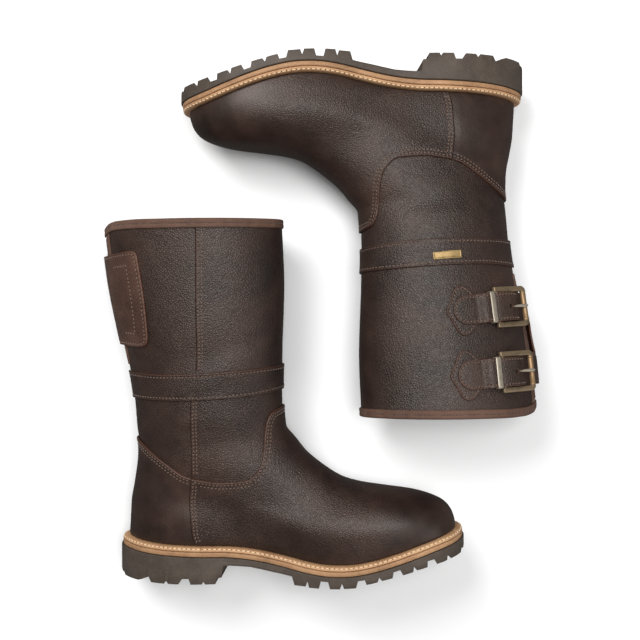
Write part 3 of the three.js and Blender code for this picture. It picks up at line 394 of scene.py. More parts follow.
def contour(P, T, val, minlen=3.0):
    """polylines in parameter space along val = 0"""
    val = np.where(np.abs(val) < 1e-7, 1e-7, val)
    s = val > 0
    ts = s[T]
    cross = ts.any(1) & ~ts.all(1)
    pts, link = {}, {}

    def mid(i, j):
        key = (i, j) if i < j else (j, i)
        if key not in pts:
            t = val[key[0]] / (val[key[0]] - val[key[1]])
            pts[key] = P[key[0]] * (1 - t) + P[key[1]] * t
        return key
    for tri in T[cross]:
        ks = []
        for a in range(3):
            i, j = int(tri[a]), int(tri[(a + 1) % 3])
            if s[i] != s[j]:
                ks.append(mid(i, j))
        if len(ks) == 2:
            link.setdefault(ks[0], []).append(ks[1])
            link.setdefault(ks[1], []).append(ks[0])
    left = set(link)
    out = []
    starts = sorted([k for k in link if len(link[k]) == 1]) + sorted(link)
    for st in starts:
        if st not in left:
            continue
        chain = [st]
        left.discard(st)
        cur = st
        while True:
            nx = [q for q in link[cur] if q in left]
            if not nx:
                break
            cur = nx[0]
            left.discard(cur)
            chain.append(cur)
        if len(chain) > 3:
            out.append(A([pts[c] for c in chain]))
    return out


class Piece:
    """vertices (mm, boot frame), faces, a material index and an edge value per vertex"""

    def __init__(self):
        self.v, self.f, self.m, self.e, self.n = [], [], [], [], 0

    def add(self, V, F, mat=0, edge=None):
        V = np.asarray(V, float)
        self.v.append(V)
        self.e.append(np.zeros(len(V)) if edge is None else np.asarray(edge, float))
        for q in F:
            self.f.append([int(i) + self.n for i in q])
            self.m.append(mat)
        self.n += len(V)


def sheet(piece, P, T, pos, eo, ei, edge, mat=0, edge_mat=None):
    """closes a cut sheet between its outer and inner levels"""
    O, I = pos(P, eo), pos(P, ei)
    key = np.round(O, 3)
    _, first, inv = np.unique(key, axis=0, return_index=True, return_inverse=True)
    inv = inv.reshape(-1)
    O, I, ed = O[first], I[first], np.asarray(edge)[first]
    T = inv[T]
    T = T[(T[:, 0] != T[:, 1]) & (T[:, 1] != T[:, 2]) & (T[:, 0] != T[:, 2])]
    n = len(O)
    cnt = {}
    for t in T:
        for a in range(3):
            i, j = int(t[a]), int(t[(a + 1) % 3])
            cnt.setdefault((min(i, j), max(i, j)), []).append((i, j))
    F = [tuple(t) for t in T] + [(t[0] + n, t[2] + n, t[1] + n) for t in T]
    for pr in cnt.values():
        if len(pr) == 1:
            i, j = pr[0]
            F.append((j, i, i + n, j + n))
    piece.add(np.vstack([O, I]), F, mat, np.concatenate([ed, np.ones(n)]))


def stitch_shape(L, r):
    xs = A([-.5, -.42, -.2, .2, .42, .5]) * L
    rr = A([.25, .75, 1, 1, .75, .25]) * r
    dip = A([-.85, -.45, 0, 0, -.45, -.85]) * r
    m = 6
    V = [(x, q * math.cos(2 * math.pi * i / m), q * .8 * math.sin(2 * math.pi * i / m) + d) for x, q, d in zip(xs, rr, dip) for i in range(m)]
    F = []
    for j in range(len(xs) - 1):
        for i in range(m):
            F.append((j * m + i, j * m + (i + 1) % m, (j + 1) * m + (i + 1) % m, (j + 1) * m + i))
    F.append(tuple(range(m))[::-1])
    F.append(tuple((len(xs) - 1) * m + i for i in range(m)))
    return A(V), F


def sew(piece, C, N, pitch=3.3, L=2.5, r=.42, mat=1, lift=.12, start=1.2, slant=0.0, hole=2):
    """a row of stitches along the points C with outward normals N"""
    d = np.linalg.norm(np.diff(C, axis=0), axis=1)
    s = np.concatenate([[0], np.cumsum(d)])
    if s[-1] < pitch:
        return
    n = max(1, int((s[-1] - start) / pitch))
    V0, F0 = stitch_shape(L, r)
    at = lambda u: A([np.interp(u, s, C[:, i]) for i in range(3)])
    # a near-black disc (material index hole) at each needle hole: painted shade inside the hole
    if hole is not None:
        ring = A([[math.cos(a), math.sin(a)] for a in np.linspace(0, PI2, 7)[:-1]])
        for i in range(n + 1):
            u = start + i * (s[-1] - start) / n
            c = at(u)
            t = unit(at(min(u + 1, s[-1])) - at(max(u - 1, 0)))
            nn = A([np.interp(u, s, N[:, j]) for j in range(3)])
            nn = unit(nn - t * (nn @ t))
            b = np.cross(nn, t)
            top = c + nn * .09 + (ring[:, :1] * t + ring[:, 1:] * b) * .42
            bot = c - nn * .5 + (ring[:, :1] * t + ring[:, 1:] * b) * .5
            piece.add(np.vstack([top, bot]), [tuple(range(6))] + [(j, j + 6, (j + 1) % 6 + 6, (j + 1) % 6) for j in range(6)] + [tuple(range(11, 5, -1))], hole)
    for i in range(n):
        u = start + (i + .5) * (s[-1] - start) / n
        c = at(u)
        t = unit(at(min(u + 1, s[-1])) - at(max(u - 1, 0)))
        nn = A([np.interp(u, s, N[:, j]) for j in range(3)])
        nn = unit(nn - t * (nn @ t))
        b = np.cross(nn, t)
        if slant:
            t, b = unit(t + b * slant), unit(b - t * slant)
        piece.add(c + nn * lift + V0[:, :1] * t + V0[:, 1:2] * b + V0[:, 2:3] * nn, F0, mat, np.full(len(V0), .0))


def sew_rows(piece, P, T, pos, eo, fields, rows, **kw):
    """rows: (field, distance); a stitch stays off every other field's line"""
    for ri, (F, dist, guard) in enumerate(rows):
        val = F(P)
        for c in contour(P, T, val - dist):
            ok = np.ones(len(c), bool)
            for G, g in guard:
                ok &= G(c) > g
            e = eo(c)
            C, D = pos(c, e), pos(c, e + 1)
            idx = np.flatnonzero(ok)
            if len(idx) < 3:
                continue
            for run in np.split(idx, np.flatnonzero(np.diff(idx) > 1) + 1):
                if len(run) > 2:
                    sew(piece, C[run], unit(D[run] - C[run]), slant=(.26, -.26)[ri % 2], **kw)


def rounded(d, r, drop):
    """how far the face falls toward an edge at distance d"""
    t = np.clip(1 - d / r, 0, 1)
    return drop * (1 - np.sqrt(np.maximum(1 - t * t, 0)))


def groove(d, at, w=.75, depth=.28):
    return -depth * bump(d - at, w)


PI2 = 2 * math.pi
K_SHAFT = np.concatenate([np.arange(7, 10.5, .3), np.arange(10.5, 12, .18), np.arange(12, 17, .09), np.arange(17, 19.4, .14)])
K_FOOT = np.arange(-.3, 13.6, .26)


def phis(n, lo=0.0, hi=PI2):
    return np.linspace(lo, hi, n)


def cuts(P, T, clips, marks):
    for F in clips:
        P, T = cut(P, T, F(P), True)
    for F, levels in marks:
        for lv in levels:
            P, T = cut(P, T, F(P) - lv, False, .12)
    return P, T


def shaft_parts():
    lap_top = lambda P: -below_low(P) + 9.9
    rim = lambda P: under_rim(P) - 1.6
    front_in = lambda P: np.where(skin(P[:, 0], P[:, 1])[:, 1] > .01, ahead_seam(P), 60.0)
    rear_in = lambda P: np.where(skin(P[:, 0], P[:, 1])[:, 1] > -.01, -ahead_seam(P) - GAP, -60.0)
    hem = lambda P: off_slit(P)
    out = {}
    for name, seam, rng in (("shaft_main", front_in, None), ("shaft_rear_inner", rear_in, None)):
        pc = Piece()
        if name == "shaft_main":
            P, T = grid(phis(150, .55, PI2), K_SHAFT)
        else:
            P, T = grid(phis(46, 0, 1.75), K_SHAFT)
        P, T = cuts(P, T, [lap_top, rim, hem, seam], [(seam, (.3, .8, 1.7, 2.6, 5.2))])

        def eo(Q, seam=seam, name=name):
            d = seam(Q)
            e = np.full(len(Q), LEATHER_T)
            if name == "shaft_main":
                w = np.clip(1 - d / 9, 0, 1)
                e = e + .75 * w * w * (3 - 2 * w) - rounded(d, .9, 1.3) + groove(d, 2.2) + groove(d, 4.8, .7)
            else:
                w = np.clip(1 - d / 5, 0, 1)
                e = e - .35 * w
            e = e - rounded(off_slit(Q), 1.0, .7) - .3 * bump(-below_low(Q), 1.6)
            return e
        d = seam(P)
        sheet(pc, P, T, skin_pos, eo(P), np.zeros(len(P)), np.maximum(1 - np.clip(d / 1.2, 0, 1), 0) if name == "shaft_main" else 0 * d)
        if name == "shaft_main":
            above_lap = (lambda Q: -below_low(Q), 1.0)
            sew_rows(pc, P, T, skin_pos, eo, None, [(front_in, 2.2, [above_lap, (rim, 8), (lambda Q: -np.minimum(above_band(Q), under_band(Q)), .6)]), (front_in, 4.8, [above_lap, (rim, 8), (lambda Q: -np.minimum(above_band(Q), under_band(Q)), .6)])], pitch=3.1, L=2.2, r=.46)
        out[name] = pc
    return out


def foot_parts():
    out = {}
    for name in ("vamp", "heel_counter"):
        pc = Piece()
        if name == "vamp":
            P, T = grid(phis(240, .5, PI2 - .5), K_FOOT)
            seam = ahead_counter
        else:
            P, T = grid(phis(90, -1.25, 1.25), K_FOOT)
            seam = lambda Q: -ahead_counter(Q) - GAP
        P, T = cuts(P, T, [off_welt, below_low, seam], [(below_low, (.25, .7, 1.5, 2.3, 4.8, 10.3)), (seam, (.25, .7, 1.5, 2.3, 4.8)), (off_welt, (.5, 1.3))])

        def eo(Q, seam=seam, name=name):
            d, t = below_low(Q), seam(Q)
            e = VAMP_T - rounded(d, .9, 1.3) + groove(d, 2.3) + groove(d, 5.0, .7) - rounded(off_welt(Q), 1.5, 1.1)
            if name == "vamp":
                w = np.clip(1 - t / 8, 0, 1)
                e = e + .6 * w * w * (3 - 2 * w) - rounded(t, .9, 1.2) + groove(t, 2.2) + groove(t, 4.8, .7)
            else:
                w = np.clip(1 - t / 5, 0, 1)
                e = e - .4 * w
            return e

        def ei(Q):
            d = below_low(Q)
            w = np.clip((10.3 - d) / .6, 0, 1)
            return (LEATHER_T + GAP) * w
        d = np.minimum(below_low(P), seam(P) if name == "vamp" else 50)
        sheet(pc, P, T, skin_pos, eo(P), ei(P), 1 - np.clip(d / 1.2, 0, 1))
        g = [(off_welt, 2.0)]
        rows = [(below_low, 2.3, [(seam, 1.2 if name == "heel_counter" else 2.2)] + g), (below_low, 5.0, [(seam, 1.2 if name == "heel_counter" else 4.9)] + g)]
        if name == "vamp":
            rows += [(seam, 2.2, [(below_low, 1.6)] + g), (seam, 4.8, [(below_low, 4.4)] + g)]
        sew_rows(pc, P, T, skin_pos, eo, None, rows, pitch=3.1, L=2.2, r=.46)
        out[name] = pc
    return out


def band_parts():
    out = {}
    pc = Piece()
    P, T = grid(phis(170), np.concatenate([np.arange(12.4, 13, .12), np.arange(13, 14.6, .06)]))
    P, T = cuts(P, T, [above_band, under_band, off_slit], [(above_band, (.3, .8, 1.6, 3.4)), (under_band, (.3, .8, 1.6, 3.4))])
    base = LEATHER_T + GAP

    def eo(Q):
        a, b = above_band(Q), under_band(Q)
        d = np.minimum(a, b)
        return base + 1.15 + .35 * np.clip(1 - d / 6, 0, 1) - rounded(d, .8, .9) + groove(d, 2.5, .8, .3) - rounded(off_slit(Q), .8, .6)
    d = np.minimum(above_band(P), under_band(P))
    sheet(pc, P, T, skin_pos, eo(P), np.full(len(P), base), 1 - np.clip(d / 1.1, 0, 1))
    g = [(off_slit, 1.5)]
    sew_rows(pc, P, T, skin_pos, eo, None, [(above_band, 2.5, g), (under_band, 2.5, g)], pitch=3.3, L=2.3, r=.46)
    out["ankle_band"] = pc
    # blank plate
    pc = Piece()
    f = true_dist(lambda Q: sd_closed(xz(Q), PLATE))
    P, T = grid(phis(60, PI2 - 1.95, PI2 - 1.2), np.arange(13.2, 14.2, .025))
    P, T = cuts(P, T, [f], [(f, (.25, .55, .8, 1.0, 1.3))])
    base = LEATHER_T + GAP * 2 + 1.15

    def eo(Q):
        d = f(Q)
        return base + 1.15 - rounded(d, .5, .7) - .28 * np.clip((d - .8) / .25, 0, 1)
    sheet(pc, P, T, skin_pos, eo(P), np.full(len(P), base), 1 - np.clip(f(P) / .6, 0, 1))
    out["name_plate"] = pc
    # gusset behind the slit
    pc = Piece()
    P, T = grid(phis(36, -.42, .42), np.arange(11, 19.2, .12))
    ins = lambda Q: -off_slit(Q) - .4
    low = lambda Q: skin(Q[:, 0], Q[:, 1])[:, 2] - 134
    top = lambda Q: under_rim(Q) - 9
    P, T = cuts(P, T, [ins, low, top], [(ins, (1.5,))])
    pleat = lambda Q: 1.2 - .8 * bump(skin(Q[:, 0], Q[:, 1])[:, 1], 1.3) * np.clip((skin(Q[:, 0], Q[:, 1])[:, 2] - 150) / 40, 0, 1)
    sheet(pc, P, T, skin_pos, pleat(P), np.zeros(len(P)), np.zeros(len(P)))
    out["rear_gusset"] = pc
    return out


def solve_k(phi, depth, lo=16.0, hi=19.8):
    lo, hi = np.full(len(phi), lo), np.full(len(phi), hi)
    for _ in range(34):
        m = (lo + hi) / 2
        P = np.stack([phi, m], 1)
        q = xz(P)
        val = cr(RIM[:, 0], RIM[:, 1], q[:, 0]) - q[:, 1] - depth
        lo, hi = np.where(val > 0, m, lo), np.where(val > 0, hi, m)
    return lo


def binding():
    pc = Piece()
    ph = np.linspace(.0, PI2, 281)
    k0 = solve_k(ph, 0)
    w = np.interp(skin(ph, k0)[:, 2], SLIT[:, 0], SLIT[:, 1])
    a0 = ph[np.flatnonzero((np.abs(skin(ph, k0)[:, 1]) > w + .3) & (ph < 1))[0]]
    a1 = ph[np.flatnonzero((np.abs(skin(ph, k0)[:, 1]) > w + .3) & (ph > 5))[-1]]
    ph = np.linspace(a0, a1, 300)
    k0, k1 = solve_k(ph, 0), solve_k(ph, 7.6)
    prof = A([[7.6, 2.25], [7.6, 2.8], [7.3, 3.1], [6.4, 3.3], [4.6, 3.25], [3.6, 3.05], [2.6, 3.25], [1.2, 3.25], [.45, 2.8], [.08, 1.9], [0, .6], [.05, -.8], [.3, -2.0], [.9, -2.9], [1.8, -3.3], [4.2, -3.3], [7.3, -3.25], [7.6, -3.0], [7.6, -2.45], [4, -2.4], [1.3, -2.35], [1.3, 2.2], [4, 2.22]])
    n, m = len(ph), len(prof)
    wob = .12 * np.sin(ph * 23) + .1 * np.sin(ph * 41 + 1)
    V = []
    for h, e in prof:
        kk = k0 + (k1 - k0) * h / 7.6
        V.append(layer(ph, kk, np.full(n, e) + (wob if e > 2.5 else 0)))
    V = np.stack(V, 1)
    F = []
    for i in range(n - 1):
        for j in range(m):
            F.append((i * m + j, i * m + (j + 1) % m, (i + 1) * m + (j + 1) % m, (i + 1) * m + j))
    F.append(tuple(range(m))[::-1])
    F.append(tuple((n - 1) * m + j for j in range(m)))
    ed = np.tile(np.where(A([h > 7 for h, _ in prof]), .6, 0.0), n)
    pc.add(V.reshape(-1, 3), F, 0, ed)
    kk = k0 + (k1 - k0) * 3.6 / 7.6
    C, D = layer(ph, kk, np.full(n, 3.05)), layer(ph, kk, np.full(n, 4.0))
    sew(pc, C, unit(D - C), pitch=3.6, L=2.3, r=.4, lift=.02)
    # the tape that follows each side of the rear opening
    for s in (1, -1):
        P, T = grid(phis(22, 0, .75) * s, np.arange(13.9, 19.0, .11))
        near = lambda Q: off_slit(Q) - .25
        far = lambda Q: 8.4 - off_slit(Q)
        low = lambda Q: skin(Q[:, 0], Q[:, 1])[:, 2] - 190
        top = lambda Q: under_rim(Q) - 7.9
        P, T = cuts(P, T, [near, far, low, top], [(near, (.4,)), (far, (.4, .9))])
        e = 1.95 + .85 - rounded(np.minimum(near(P), far(P)), .8, .6)
        sheet(pc, P, T, skin_pos, e, np.full(len(P), 1.96), .6 * (1 - np.clip(far(P) / 1.0, 0, 1)))
        sew_rows(pc, P, T, skin_pos, lambda Q: np.full(len(Q), 2.78), None, [(near, 3.6, [(low, 2), (top, 2)])], pitch=3.6, L=2.3, r=.4, lift=.02)
    return pc


def lining():
    pc = Piece()
    ph = np.linspace(0, PI2, 161)[:-1]
    n = len(ph)
    ks = np.concatenate([np.arange(.35, 12, .45), np.arange(12, 18.7, .25)])
    rings = []
    kt = solve_k(ph, 1.75)
    wr = .35 * np.sin(ph * 7) * 0
    for e, kseq in ((-.32, ks), (-2.3, ks[::-1])):
        if e == -.32:
            for k in ks:
                rings.append(layer(ph, np.minimum(k, kt), np.full(n, e)))
            rings.append(layer(ph, kt, np.full(n, e)))
        else:
            rings.append(layer(ph, kt, np.full(n, e)))
            for k in kseq[:-1]:
                kk = np.minimum(k, kt)
                rings.append(layer(ph, kk, e + .18 * np.sin(3 * ph + k) * np.sin(.8 * k)))
    V = np.stack(rings)
    R = len(rings)
    F = []
    for j in range(R - 1):
        for i in range(n):
            F.append((j * n + i, j * n + (i + 1) % n, (j + 1) * n + (i + 1) % n, (j + 1) * n + i))
    for o, up in ((0, False), ((R - 1) * n, True)):
        for i in range(n // 2):
            a, b, c, d = o + i, o + i + 1, o + (n - i) % n, o + (n - i - 1) % n
            q = [x for x in ((a, b, d, c))]
            q = list(dict.fromkeys(q))
            if len(q) > 2:
                F.append(tuple(q) if not up else tuple(q[::-1]))
    pc.add(V.reshape(-1, 3), F, 0)
    return pc


def ladder(o, n, flip):
    F = []
    for i in range(n // 2):
        q = list(dict.fromkeys((o + i, o + i + 1, o + (n - i - 1) % n, o + (n - i) % n)))
        if len(q) > 2:
            F.append(tuple(q[::-1]) if flip else tuple(q))
    return F


def outline(d, ph):
    e = 1e-3
    a, b, c = skin(ph - e, 0), skin(ph + e, 0), skin(ph, 0)
    t = b - a
    L = np.hypot(t[:, 0], t[:, 1])
    return np.stack([c[:, 0] - t[:, 1] / L * -d * -1, c[:, 1] + t[:, 0] / L * d], 1) if False else np.stack([c[:, 0] - t[:, 1] / L * d, c[:, 1] + t[:, 0] / L * d], 1)


def footbed():
    pc = Piece()
    n = 160
    ph = np.linspace(0, PI2, n + 1)[:-1]
    rings = []
    for d, dz, crown in ((-4.2, 3.0, 0), (-3.9, 3.6, 0), (-3.9, 5.2, 0), (-4.3, 5.9, 0), (-5.4, 6.3, 0), (-12, 6.2, 0), (-20, 5.9, 0)):
        o = outline(d - 2.6, ph)
        z = rubber_top(o[:, 0]) + BAND_H + dz
        rings.append(np.column_stack([o, z]))
    V = np.stack(rings)
    R = len(rings)
    F = [(j * n + i, j * n + (i + 1) % n, (j + 1) * n + (i + 1) % n, (j + 1) * n + i) for j in range(R - 1) for i in range(n)]
    F += ladder(0, n, False) + ladder((R - 1) * n, n, True)
    pc.add(V.reshape(-1, 3), F, 0)
    return pc


def sole_ring(prof, ph, closed, wave=0.0, mat=0):
    """profile (outward, height above the rubber) swept round the foot"""
    rings = []
    for d, dz in prof:
        o = outline(d, ph)
        rings.append(np.column_stack([o, rubber_top(o[:, 0]) + dz]))
    V = np.stack(rings, 1)
    n, m = len(ph), len(prof)
    F = []
    for i in range(n if closed else n - 1):
        for j in range(m):
            F.append((i * m + j, i * m + (j + 1) % m, ((i + 1) % n) * m + (j + 1) % m, ((i + 1) % n) * m + j))
    if not closed:
        F.append(tuple(range(m))[::-1])
        F.append(tuple((n - 1) * m + j for j in range(m)))
    return V.reshape(-1, 3), F


def sole_parts():
    out = {}
    # phi of the butt joint on the inner side of the waist
    pj = math.acos(1 - 2 * (73.3 - 3.09) / 282)
    ph = np.linspace(pj + .0012, pj + PI2 - .0012, 420)
    pc = Piece()
    b = MIDSOLE_H + .45
    t = BAND_H
    V, F = sole_ring([(-3, b), (4.7, b), (5.25, b + .25), (5.4, b + .8), (5.3, b + 1.25), (4.75, b + 2.0), (4.0, b + 2.75), (3.3, t - .05), (2.4, t + .05), (1.2, t), (-3, t - .02)], ph, False)
    pc.add(V, F, 0)
    o0, o1 = outline(4.6, ph), outline(5.6, ph)
    C = np.column_stack([o0, rubber_top(o0[:, 0]) + b + 2.15])
    D = np.column_stack([o1, rubber_top(o1[:, 0]) + b + 3.2])
    sew(pc, C, unit(D - C), pitch=4.0, L=3.0, r=.5, mat=1, lift=.12, hole=2)
    out["welt"] = pc
    pc = Piece()
    ph2 = np.linspace(0, PI2, 421)[:-1]
    V, F = sole_ring([(-9, .15), (4.9, .15), (5.45, .4), (5.65, 1.0), (5.65, 3.0), (5.4, 3.7), (4.8, 4.0), (-9, 4.0)], ph2, True)
    pc.add(V, F, 0)
    # middle of the midsole, closed over the shank
    n = len(ph2)
    oi = outline(-8.6, ph2)
    top = np.column_stack([oi, rubber_top(oi[:, 0]) + 1.75])
    bot = np.column_stack([oi, rubber_top(oi[:, 0]) + .2])
    F = [(i, (i + 1) % n, n + (i + 1) % n, n + i) for i in range(n)] + ladder(0, n, False) + ladder(n, n, True)
    pc.add(np.vstack([bot, top]), F, 0)
    out["midsole"] = pc
    out["outsole"] = outsole()
    return out


def outsole():
    pc = Piece()
    fine = np.linspace(0, math.pi, 700)
    def half(d, sgn):
        o = outline(d, fine if sgn > 0 else PI2 - fine)
        x, y = o[:, 0], np.abs(o[:, 1])
        i = np.argsort(x)
        return x[i], y[i]
    xm = {s: half(7.0, s) for s in (1, -1)}
    xi = {s: half(-11.0, s) for s in (1, -1)}
    x_lo = max(xm[s][0][0] for s in xm) + .02
    x_hi = min(xm[s][0][-1] for s in xm) - .02
    tx = TREAD[:, 0].copy()
    xs = [x_lo, x_hi] + list(tx[(tx > x_lo) & (tx < x_hi)])
    xs += list(x_lo + 14 * (1 - np.cos(np.linspace(0, math.pi / 2, 12)))) + list(x_hi - 16 * (1 - np.cos(np.linspace(0, math.pi / 2, 14))))
    xs += list(np.arange(x_lo + 14, x_hi - 16, 3.1))
    xs = np.unique(np.round(xs, 3))
    keep = [0]
    for i in range(1, len(xs)):
        if xs[i] - xs[keep[-1]] > .16:
            keep.append(i)
    xs = xs[keep]
    tread = np.interp(xs, TREAD[1:, 0] + np.arange(len(TREAD) - 1) * 1e-6, TREAD[1:, 1])
    floor = np.interp(xs, FLOOR[1:, 0], FLOOR[1:, 1])
    top = rubber_top(xs) - .15
    rows = []
    for s in (1, -1):
        yo = np.interp(xs, *xm[s])
        x0, y0 = xi[s]
        yi = np.where((xs > x0[0]) & (xs < x0[-1]), np.interp(xs, x0, y0), 0)
        solid_end = yi < 2
        yi = np.maximum(yi, .4)
        fl = np.where(solid_end, tread + .02, np.maximum(floor, tread + .02))
        yi = np.minimum(yi, np.maximum(yo - 3, .3))
        heel = np.clip(1 - (xs - 60) / 60, 0, 1)
        flare = .9 * heel
        z1 = top - 2.1
        zt = np.minimum(tread, top - 3.6)
        zm = (top - 3.2 + zt + 1.2) / 2
        sec = [(yo - .7, top), (yo - .1, top - .5), (yo, top - 1.1), (yo, z1), (yo + .02, z1 - .3), (yo + .04, z1 - .7), (yo + .06, z1 - 1.0), (yo + .15 + flare * .4, np.minimum(zm, z1 - 1.2)), (yo + .1 + flare, np.minimum(zt + 1.0, z1 - 1.3)), (yo - .35 + flare, zt), (yi + .5, zt), (yi, np.minimum(zt + .5, fl)), (yi, fl)]
        rows.append([(xs, y * s, z) for y, z in sec])
    ring = [(xs, 0 * xs, top)] + rows[0] + [(xs, 0 * xs, np.where(rows[0][-1][2] > rows[1][-1][2], rows[1][-1][2], rows[0][-1][2]))] + rows[1][::-1]
    V = np.stack([np.stack(np.broadcast_arrays(*r), -1) for r in ring], 1)
    n, m = V.shape[:2]
    F = [(i * m + j, i * m + (j + 1) % m, (i + 1) * m + (j + 1) % m, (i + 1) * m + j) for i in range(n - 1) for j in range(m)]
    F.append(tuple(range(m))[::-1])
    F.append(tuple((n - 1) * m + j for j in range(m)))
    pc.add(V.reshape(-1, 3), F, 0)
    # cleats down the middle
    for x0, x1, z0, z1 in [[34, 42, 8.4, 8.6], [50, 58, 8.7, 8.8], [67, 75, 9, 9.1], [156, 165, 11.3, 11.1], [174, 183, 11.3, 11.6], [192, 201, 12.7, 13.8], [210, 219, 16.4, 19], [228, 237, 21.6, 24], [246, 255, 26.3, 28.6]]:
        a = {s: half(-15.5, s) for s in (1, -1)}
        xm_ = (x0 + x1) / 2
        yp, yn = np.interp(xm_, *a[1]), -np.interp(xm_, *a[-1])
        fz = float(np.interp(xm_, FLOOR[:, 0], FLOOR[:, 1])) + 1.5
        c = 1.0
        prof = [(x0 + c, z0, 0), (x1 - c, z1, 0), (x1, z1 + c, 1), (x1 + .3, fz + (z1 - z0), 1), (x0 - .3, fz, 1), (x0, z0 + c, 1)]
        V = []
        for y, sh in ((yn, 1), (yn + .8, 0), (yp - .8, 0), (yp, 1)):
            for x, z, k_ in prof:
                V.append((x + (0 if not sh else (.6 if x < xm_ else -.6)), y, z + (.7 if sh and k_ == 0 else 0)))
        m = 6
        F = [(j * m + i, j * m + (i + 1) % m, (j + 1) * m + (i + 1) % m, (j + 1) * m + i) for j in range(3) for i in range(m)]
        F.append(tuple(range(m))[::-1])
        F.append(tuple(3 * m + i for i in range(m)))
        pc.add(A(V), F, 0)
    return pc


# ------------------------------------------------------------------ buckles and straps
def locate(x, z):
    phi, k = -1.2, 15.0
    for _ in range(40):
        e = 1e-3
        p, a, b = skin(phi, k), skin(phi + e, k), skin(phi, k + e)
        m = A([[(a[0] - p[0]) / e, (b[0] - p[0]) / e], [(a[2] - p[2]) / e, (b[2] - p[2]) / e]])
        r = np.linalg.solve(m, A([x - p[0], z - p[2]]))
        phi += np.clip(r[0], -.2, .2)
        k += np.clip(r[1], -1, 1)
    return phi, k


class BuckleFrame:
    def __init__(self, b):
        self.b = b
        self.phi, self.k = locate(b["x"], b["z"])
        self.o, self.w = skin(self.phi, self.k), normal(self.phi, self.k)
        r = math.radians(b["rise"])
        u = A([math.cos(r), 0, math.sin(r)])
        self.u = unit(u - self.w * (u @ self.w))
        self.t = np.cross(self.w, self.u)

    def at(self, U, T, W):
        U, T, W = np.broadcast_arrays(np.asarray(U, float), np.asarray(T, float), np.asarray(W, float))
        return self.o + U[..., None] * self.u + T[..., None] * self.t + W[..., None] * self.w

    def leather(self, U, T=0.0):
        q = self.at(U, T, 0)
        ph, kk = self.phi, self.k
        for _ in range(60):
            e = 1e-3
            p = skin(ph, kk)
            a, c = (skin(ph + e, kk) - p) / e, (skin(ph, kk + e) - p) / e
            d = q - p
            m = A([[a @ self.u, c @ self.u], [a @ self.t, c @ self.t]])
            r = np.linalg.solve(m, A([d @ self.u, d @ self.t]))
            ph += np.clip(r[0], -.1, .1)
            kk += np.clip(r[1], -.5, .5)
        return float((skin(ph, kk) - self.o) @ self.w)


def stand(phi):
    p = np.mod(np.asarray(phi, float) + math.pi, 2 * math.pi) - math.pi
    return 3.3 * np.exp(-((p + .12) / .42) ** 2)


def wrap_path(f, ends=(-.4, -.3, -.2, -.1)):
    out = []
    for ph in ends:
        lvl = LEATHER_T + GAP + STRAP_T / 2 + float(stand(ph))
        q = lambda k: layer(A([ph]), A([k]), A([lvl]))[0] - f.o
        lo, hi = 13.0, 19.0
        rises = q(19) @ f.t > q(13) @ f.t
        for _ in range(40):
            m = (lo + hi) / 2
            if ((q(m) @ f.t) > 0) == rises:
                hi = m
            else:
                lo = m
        v = q(lo)
        out.append((v @ f.u, v @ f.w))
    return out


def strip(pc, f, path, hw, th, shape=None, holes=(), sample=.9, nt=25, edge_r=.55, rows=(), mat=0, gr=True, taper=None):
    """a leather strip along a path in the buckle's own (u, w) plane"""
    mid = smooth_line(A(path), step=sample)
    d = np.linalg.norm(np.diff(mid, axis=0), axis=1)
    s = np.concatenate([[0], np.cumsum(d)])
    L = s[-1]
    aa = np.arange(0, L + 1e-6, sample)
    aa[-1] = L
    tt = np.linspace(-hw, hw, nt)
    tan = np.gradient(mid, axis=0)
    tan = unit(tan)
    nrm = np.stack([-tan[:, 1], tan[:, 0]], 1)
    if (nrm @ A([0, 1])).mean() < 0:
        nrm = -nrm

    def pos(P, e):
        a = np.clip(P[:, 0], 0, L)
        U, W = np.interp(a, s, mid[:, 0]), np.interp(a, s, mid[:, 1])
        nu, nw = np.interp(a, s, nrm[:, 0]), np.interp(a, s, nrm[:, 1])
        ln = np.hypot(nu, nw)
        return f.at(U + nu / ln * e, P[:, 1], W + nw / ln * e)

    def border(P):
        v = hw - np.abs(P[:, 1])
        if shape is not None:
            v = np.minimum(v, shape(P, L))
        return v

    def hole(P):
        v = np.full(len(P), 50.0)
        for h in holes:
            v = np.minimum(v, h(P, lambda a: np.interp(a, s, mid[:, 0])))
        return v
    P, T = grid(aa, tt)
    clips = []
    if shape is not None:
        clips.append(border)
    if holes:
        clips.append(hole)
    marks = [(border, (.2, .6, 1.4, 2.0, 2.6))]
    if holes:
        marks.append((hole, (.35,)))
    P, T = cuts(P, T, clips, marks)

    def eo(Q):
        dd = border(Q)
        v = th / 2 - rounded(dd, edge_r, .5) - rounded(hole(Q), .35, .3)
        if gr:
            v = v + groove(dd, 2.0, .6, .22) - .12 * bump(dd - .9, .5)
        return v
    ei = lambda Q: -(th / 2 - rounded(border(Q), edge_r, .4))
    ed = np.maximum(1 - np.clip(border(P) / .9, 0, 1), 1 - np.clip(hole(P) / .5, 0, 1))
    sheet(pc, P, T, pos, eo(P), ei(P), ed, mat)
    for lo, hi in rows:
        guard = [(lambda Q, lo=lo: Q[:, 0] - lo, 0), (lambda Q, hi=hi: hi - Q[:, 0], 0), (hole, .8)]
        sew_rows(pc, P, T, pos, eo, None, [(border, 2.0, guard)], pitch=2.9, L=2.0, r=.4)
    return pos, s, mid


def strap_end(f):
    b = f.b
    mid = [(U, f.leather(U) + 2.3 + STRAP_T / 2 + .35) for U in (b["tip"], 33, 28, 23, 18)]
    mid += [(13.5, 6.1), (10, 7.0), (4, 7.7), (2, 8.5), (-1, 9.15), (-6, 9.6), (-11, 9.6), (-15, 8.3), (-18.5, 5.6), (-22, 2.6), (-25.5, .7), (-29, -.6)] + wrap_path(f)
    return mid


